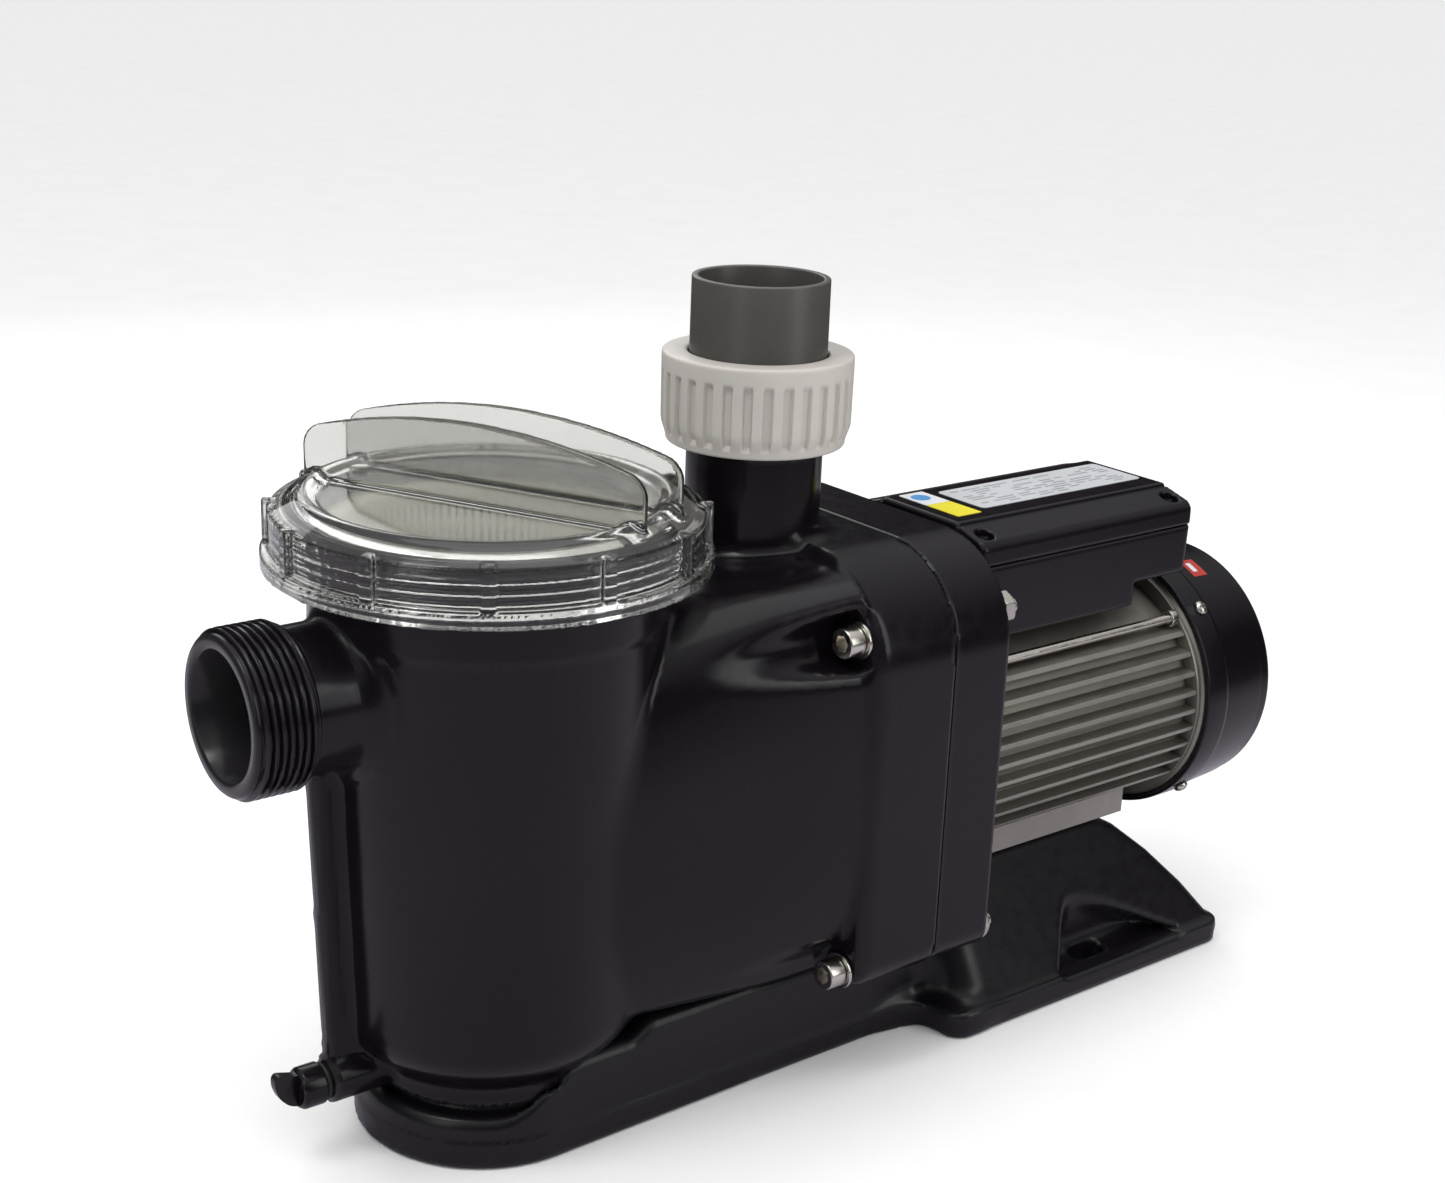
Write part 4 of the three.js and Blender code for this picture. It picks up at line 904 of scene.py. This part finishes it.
def fin_outline():
    side = []
    for height in (FIN_TOP - FIN_PITCH * i for i in range(9)):
        for radius, level in ((FIN_ROOT, 1.7), (FIN_TIP, 1.05), (FIN_TIP, -1.05), (FIN_ROOT, -1.7)):
            z = height + level
            side.append((math.sqrt(radius ** 2 - z ** 2), z))
    crown = [polar(FIN_ROOT, a) for a in range(48, 133, 3)]
    belly = [polar(FIN_ROOT, a) for a in range(233, 308, 3)]
    ring = side[::-1] + crown + [(-y, z) for y, z in side] + belly
    return [(y + SHAFT_Y, z + SHAFT_Z) for y, z in ring]


def make_motor():
    motor = mesh_object("motor_fins", prism(fin_outline(), *MOTOR_X), sharp=None)
    carve(motor, block((216, -46, 68.3), (337, 12, 92)), keep="UNION")
    carve(motor, lathe([(0, 200), (49.5, 200), (49.5, 355), (0, 355)], 128, "x", 0, SHAFT_Y, SHAFT_Z))
    soften(motor, 0.55, 2, 25)
    dress(motor, "aluminium", stands_for=["motor_housing"])
    bell = rounded([(8, 351), (8, 349.6), (17.9, 349.6), (17.9, 336), (23, 336), (23, 347.3), (44, 347.3),
                    (44, 338), (49.2, 338), (49.2, 347.3), (60, 347.3), (60, 349.7), (61.6, 350.5),
                    (61.6, 366), (52, 366), (52, 351)], 0.5, 2, True)
    piece("rear_bell", lathe(bell, 144, "x", 0, SHAFT_Y, SHAFT_Z, True), "aluminium",
          stands_for=["rear_end_bracket"], sharp=40)
    rod = rounded([(0, 209), (2.2, 209), (2.2, 341.5), (4.2, 341.5), (4.2, 345.8), (0, 345.8)], 0.5)
    for i, angle in enumerate(TIE_ANGLES, 1):
        y, z = polar(TIE_CIRCLE_R, angle)
        piece(f"tie_rod_{i}", lathe(rod, 32, "x", 0, SHAFT_Y + y, SHAFT_Z + z), "stainless",
              stands_for=[f"tie_bolt_{i}"], sharp=40)


COVER_FRONT, COVER_REAR = 350.0, 405.0
COVER_SCREW_X, COVER_SCREW_ANGLES = 359.0, (45, 135, 225, 315)
PATCH_STEPS = 12


def cover_patch(places, angles, rise):
    """Thin sheet on the cover's cone, between two places along it and two angles around it."""
    n = PATCH_STEPS + 1
    around = np.radians(np.linspace(angles[0], angles[1], n))
    points = []
    for x, lift in ((places[0], -0.5), (places[1], -0.5), (places[1], rise), (places[0], rise)):
        radius = 63.6 - (x - COVER_FRONT - 15.5) * 0.06 + lift
        points += [(x, SHAFT_Y + radius * math.cos(a), SHAFT_Z + radius * math.sin(a)) for a in around]
    faces = [[n * k + i, n * k + i + 1, n * ((k + 1) % 4) + i + 1, n * ((k + 1) % 4) + i]
             for k in range(4) for i in range(PATCH_STEPS)]
    return np.array(points), faces + [[0, n, 2 * n, 3 * n], [4 * n - 1, 3 * n - 1, 2 * n - 1, n - 1]]


def make_cover():
    front, rear = COVER_FRONT, COVER_REAR
    outside = [(62.2, front), (64.7, front), (64.7, front + 13.5), (64.0, front + 14.2),
               (63.6, front + 15.5), (62.0, rear - 13), (61.3, rear - 12.4), (61.1, rear - 6), (54.5, rear),
               (16, rear), (14, rear - 1.2), (0, rear - 1.2)]
    inside = [(0, rear - 3.4), (52.5, rear - 3.4), (58.2, rear - 8), (59.2, rear - 14),
              (61.2, front + 15), (61.6, front + 8)]
    skin = lathe(rounded(outside, 1.6, 4) + rounded(inside, 1.0, 3), 144, "x", 0, SHAFT_Y, SHAFT_Z, True)
    shell = mesh_object("cooling_cover", skin, sharp=None)
    slots = []
    for radius, count, length in ((47.5, 18, 5.4), (37.5, 14, 5.4), (27.5, 10, 5.4), (19.8, 7, 3.0)):
        half = 0.5 * (2 * math.pi * radius / count) * 0.66
        outline = rounded([(-half, -length / 2), (half, -length / 2), (half, length / 2), (-half, length / 2)],
                          2.0, 3, True)
        slot = prism(outline, rear - 9, rear + 2)
        for i in range(count):
            slots.append(about_shaft(moved(slot, y=SHAFT_Y, z=SHAFT_Z + radius), 360 / count * i))
    holes = lathe([(0, 45), (2.3, 45), (2.3, 75), (0, 75)], 12)
    slots += [about_shaft(moved(holes, COVER_SCREW_X, SHAFT_Y, SHAFT_Z), a) for a in COVER_SCREW_ANGLES]
    carve(shell, *slots)
    shade(shell.data, 40)
    dress(shell, "black_plastic", stands_for=["fan_cover"])
    piece("cover_sticker_red", cover_patch((371.5, 381.5), (107.8, 118.8), 0.15), "label_red", slot="label")
    piece("cover_sticker_white", cover_patch((374, 377.2), (110.2, 116), 0.22), "label_white", slot="label")
    head_low = 64.9
    head = rounded([(0, 54), (2, 54), (2, head_low), (3.6, head_low), (3.3, head_low + 1.5),
                    (1.8, head_low + 2.4), (0, head_low + 2.5)], 0.5)
    screw = lathe(head, 28, x=COVER_SCREW_X, y=SHAFT_Y, z=SHAFT_Z)
    cross = [block((COVER_SCREW_X - a, SHAFT_Y - b, SHAFT_Z + head_low + 1),
                   (COVER_SCREW_X + a, SHAFT_Y + b, SHAFT_Z + 70)) for a, b in ((2.2, 0.4), (0.4, 2.2))]
    for i, angle in enumerate(COVER_SCREW_ANGLES, 1):
        obj = mesh_object(f"cover_pan_screw_{i}", about_shaft(screw, angle))
        for bar in cross:
            carve(obj, about_shaft(bar, angle))
        shade(obj.data, 38)
        dress(obj, "stainless", stands_for=[f"cover_screw_{i}"])


# ---- terminal box ----

BOX_X, BOX_Y = (212.0, 351.0), (-60.0, 26.0)
BOX_LOW, BOX_NOTCH_X, BOX_NOTCH_Z, BOX_SPLIT, BOX_TOP = 182.8, 314.0, 194.2, 217.4, 233.5
BOX_MID = (sum(BOX_X) / 2, sum(BOX_Y) / 2)
BOX_HALF = ((BOX_X[1] - BOX_X[0]) / 2, (BOX_Y[1] - BOX_Y[0]) / 2)
BOX_SCREWS = [(x, y) for y in (BOX_Y[0] + 9, BOX_Y[1] - 9) for x in (BOX_X[0] + 9, BOX_X[1] - 9)]
PLATEAU_Y = (-42.0, 8.0)
GLAND_X, GLAND_Z = 238.0, 204.0
LABEL_LOW, LABEL_HIGH = (240.5, -30.2), (345.5, 0.8)
STRIP_X, STRIP_Y = (221.0, 235.5), (-34.2, -13.5, 5.2)
PRINT_RISE, DOT_R = 0.27, 4.6


def box_plan(x, y, inset, corner):
    return round_corner(x - BOX_MID[0], y - BOX_MID[1], BOX_HALF[0] - inset, BOX_HALF[1] - inset, corner)


def box_distance(x, y, z):
    draft = (BOX_SPLIT - z) * 0.02
    body = soft_max(box_plan(x, y, 0.1 + draft, 5), between(z, BOX_LOW, BOX_SPLIT - 0.4), 1.2)
    body = soft_max(body, -np.maximum(BOX_NOTCH_X - x, z - BOX_NOTCH_Z), 1.5)
    hollow = np.maximum(box_plan(x, y, 3, 20), BOX_NOTCH_Z + 3 - z)
    pocket = np.maximum(round_corner(x - 270, y - BOX_MID[1], 40, 37, 4),
                        between(z, BOX_LOW + 3, BOX_NOTCH_Z + 6))
    body = np.maximum(body, -np.minimum(hollow, pocket))
    gland = np.maximum(np.hypot(x - GLAND_X, z - GLAND_Z) - 8, 15 - y)
    wires = np.maximum(np.hypot(x - 260, y - SHAFT_Y) - 6, z - 195)
    return np.maximum(body, -np.minimum(gland, wires))


LID_PROFILE = [
    (BOX_Y[0], BOX_SPLIT), (BOX_Y[1], BOX_SPLIT), (BOX_Y[1], 225.4), (BOX_Y[1] - 3.6, 228.4),
    (PLATEAU_Y[1] + 0.6, 232.4), (PLATEAU_Y[1] - 0.6, BOX_TOP), (PLATEAU_Y[0] + 0.6, BOX_TOP),
    (PLATEAU_Y[0] - 0.6, 232.4), (BOX_Y[0] + 3.6, 228.4), (BOX_Y[0], 225.4),
]


def cover_lid_distance(x, y, z):
    section = polygon(y, z, LID_PROFILE)
    body = soft_max(section, box_plan(x, y, 0, 4), 2.2)
    body = soft_max(body, np.abs(x - BOX_MID[0]) + (z - BOX_SPLIT) * 0.05 - BOX_HALF[0], 2.5)
    for edge in PLATEAU_Y:
        line = np.maximum(np.abs(y - edge) - 0.55, 231.6 - z)
        body = soft_max(body, -line, 0.6)
    for sx, sy in BOX_SCREWS:
        well = np.maximum(np.hypot(x - sx, y - sy) - 4.4, 224 - z)
        body = soft_max(body, -well, 0.8)
        body = np.maximum(body, 2.1 - np.hypot(x - sx, y - sy))
    hollow = np.maximum(box_plan(x, y, 6, 18), z - 225)
    return np.maximum(body, -hollow)


def make_box():
    low, high = (BOX_X[0], BOX_Y[0], BOX_LOW), (BOX_X[1], BOX_Y[1], BOX_SPLIT)
    piece("terminal_box_body", moulded(box_distance, low, high, 1.3), "black_plastic",
          stands_for=["terminal_box"], sharp=None)
    low, high = (BOX_X[0], BOX_Y[0], BOX_SPLIT), (BOX_X[1], BOX_Y[1], BOX_TOP)
    piece("terminal_box_cover", moulded(cover_lid_distance, low, high, 0.95), "black_plastic",
          stands_for=["terminal_box_lid"], sharp=None)
    seat = 224.3
    head = rounded([(0, 204), (1.8, 204), (1.8, seat), (3.4, seat), (3.2, seat + 1.6), (2, seat + 2.4),
                    (0, seat + 2.5)], 0.5)
    for i, (x, y) in enumerate(BOX_SCREWS, 1):
        obj = mesh_object(f"box_pan_screw_{i}", lathe(head, 24, x=x, y=y))
        for a, b in ((2.1, 0.4), (0.4, 2.1)):
            carve(obj, block((x - a, y - b, seat + 1), (x + a, y + b, seat + 5)))
        shade(obj.data, 38)
        dress(obj, "stainless", stands_for=[f"box_screw_{i}"])
    make_label()
    gland = rounded([(4, -3), (7.6, -3), (7.6, 6.3), (12, 6.3), (12, 12), (10.5, 12.5), (10.5, 21), (8, 25),
                     (4, 25)], 0.8, 3, True)

    def grip(angles, r, h):
        return (-0.5 if 13 < h < 20 and r > 9 else 0) * (np.cos(angles * 18) > 0)
    shape = lathe(gland, 144, "x", closed=True, wave=grip)
    shape = moved(spun(shape, 90, "Z"), GLAND_X, BOX_Y[1] - 6, GLAND_Z)
    piece("cable_gland_body", shape, "black_plastic", stands_for=["cable_gland"], sharp=40)


def sheet(low, high, radius, rise=0.2):
    """Thin sheet with round corners on top of the box, between two corners."""
    (x0, y0), (x1, y1) = low, high
    outline = rounded([(x0, y0), (x1, y0), (x1, y1), (x0, y1)], radius, 4, True)
    return prism(outline, BOX_TOP - 0.3, BOX_TOP + rise, "z")


def make_label():
    piece("rating_plate", sheet(LABEL_LOW, LABEL_HIGH, 3), "label", stands_for=["rating_label"])
    (x0, y0), (x1, y1) = LABEL_LOW, LABEL_HIGH
    bars = []
    rng = np.random.default_rng(7)
    for y in np.arange(y0 + 3, y1 - 2.5, 2.9):
        x = x0 + 5
        while x < x1 - 8:
            length = float(rng.uniform(4, 15))
            if rng.random() < 0.72:
                end = min(x + length, x1 - 4)
                bars.append(block((x, y, BOX_TOP), (end, y + 1.1, BOX_TOP + PRINT_RISE)))
            x += length + float(rng.uniform(2, 5))
    piece("rating_plate_lines", merged(*bars), "label_grey", slot="label")
    left, right = STRIP_X
    near, middle, far = STRIP_Y
    piece("box_sticker_yellow", sheet((left, near), (right, middle), 0.8), "label_yellow", slot="label")
    piece("box_sticker_white", sheet((left, middle + 0.1), (right, far), 0.8), "label_white", slot="label")
    dot = [(0, BOX_TOP), (DOT_R, BOX_TOP), (DOT_R, BOX_TOP + PRINT_RISE), (0, BOX_TOP + PRINT_RISE)]
    piece("box_sticker_dot", lathe(dot, 40, x=227.6, y=-2.6), "label_blue", slot="label")


# ---- base and drain plug ----

BASE_EDGE, BASE_DECK = 12.0, 22.0
NOSE_X, NOSE_R, FLARE_X, REAR_X, REAR_Y = -1.0, 55.0, 190.0, 382.0, 80.3
HUMP_Z = (8, 13, 30, 48, 62, 68)
HUMP_HALF = (78, 76, 67.5, 58, 49, 45)
HUMP_REAR = (381, 379, 366, 349, 333, 322)
PEDESTAL_R, HUMP_TOP, STRIP_RISE = 46.0, 68.0, 17.0
SLOT_X, SLOT_Y, SLOT_R, SLOT_HALF = 297.0, 66.0, 4.5, 6.0
STRIP_POCKETS, FOOT_POCKETS = (62, 106, 150), (232, 276, 320)


def base_distance(x, y, z):
    side = np.abs(y)
    nose = np.hypot(np.minimum(x - NOSE_X, 0), y) - NOSE_R + 1.2 * np.clip(x / 100, 0, 1)
    strip = np.maximum(nose, x - FLARE_X - 20)
    wide = round_corner(x - (FLARE_X + 8 + REAR_X) / 2, y, (REAR_X - FLARE_X - 8) / 2, REAR_Y, 9)
    plan = soft_min(strip, wide, 18)
    plate = soft_max(plan, between(z, 0, BASE_EDGE), 2)
    under_flange = FLANGE_LOW - BASE_DECK - STRIP_RISE - 0.4
    deck_z = BASE_DECK + STRIP_RISE * ease(x, -25, 14) + under_flange * ease(x, 38, 52)
    lean = 0.3 + 0.1 * np.maximum(z - 8, 0)
    deck = soft_max(np.maximum(nose + lean, x - FLARE_X - 15), z - deck_z, 6)
    body = soft_min(plate, np.maximum(deck, 2 - z), 1.5 + 7 * ease(x, FLARE_X - 25, FLARE_X))
    body = soft_max(body, -np.maximum(np.hypot(x, y) - POT_NECK_R - 0.6, POT_FLOOR - 3 - z), 0.8)
    pedestal = np.maximum(np.hypot(x, y) - PEDESTAL_R, between(z, BASE_EDGE, POT_FLOOR - 0.3))
    body = soft_min(body, pedestal, 1.5)
    half, rear = np.interp(z, HUMP_Z, HUMP_HALF), np.interp(z, HUMP_Z, HUMP_REAR)
    hump = soft_max((side - half) * 0.85, (x - rear) * 0.75, 6)
    hump = soft_max(hump, FLARE_X + 12 - x, 20)
    hump = soft_max(hump, between(z, 6, HUMP_TOP), 3)
    body = soft_min(body, hump, 3 + 6 * (1 - ease(x, FLARE_X + 20, FLARE_X + 45)))
    notch = polygon(x, z, [(271, BASE_EDGE), (350, BASE_EDGE), (291, 41), (285, 41)])
    pocket = soft_max(notch, 59.5 + 0.05 * (z - BASE_EDGE) - side, 9)
    body = soft_max(body, -pocket, 5)
    slot = np.hypot(np.maximum(np.abs(x - SLOT_X) - SLOT_HALF, 0), side - SLOT_Y) - SLOT_R
    body = np.maximum(body, -np.maximum(slot, z - 20))
    for centre in STRIP_POCKETS:
        body = np.maximum(body, -np.maximum(round_corner(x - centre, side - 26, 18, 19, 3), z - 16))
    for centre in FOOT_POCKETS:
        body = np.maximum(body, -np.maximum(round_corner(x - centre, side - 20, 18, 16, 3), z - 40))
    return soft_max(body, 0.1 - z, 1.5)


def make_base():
    piece("base_body", moulded(base_distance, BASE[0], BASE[1], 1.75), "base_plastic",
          stands_for=["pump_base"], sharp=None)


def make_drain():
    face = DRAIN_FACE
    plug = [(0, -88.2), (5.6, -88.2), (6.2, -89), (7.4, -89), (8.6, -87.4), (8.6, face - 3),
            (4.7, face - 3), (4.7, -58), (0, -58)]
    shank = lathe(rounded(plug, 0.6), 64, "x", 0, 0, DRAIN_Z)
    leaf = [(-97.6, 43.5), (-99, 41.8), (-98.9, 38), (-97, 33), (-93, 28.7), (-88, 26.9), (-82, 27.3),
            (-82, 40.9), (-90, 41.2), (-94, 42.4)]
    wing = prism(rounded(leaf, 2.0, 4, True), -1.9, 1.9, "y")
    obj = mesh_object("drain_wing_plug", shank, sharp=None)
    carve(obj, wing, keep="UNION")
    soften(obj, 0.5, 2, 40)
    dress(obj, "black_plastic", "drain", ["drain_plug"])
    ring = lathe(round_section(6.6, face - 1.5, 1.2, 8), 48, "x", 0, 0, DRAIN_Z, True)
    piece("drain_seal_ring", ring, "rubber", "drain_seal", ["drain_o_ring"])


# ---- set up and finish ----

add_camera()
add_surroundings()
dress_frame()
make_housing()
make_suction_thread()
make_lid_thread()
make_lid()
make_basket()
make_union()
make_plate()
make_fasteners()
make_motor()
make_cover()
make_box()
make_base()
make_drain()
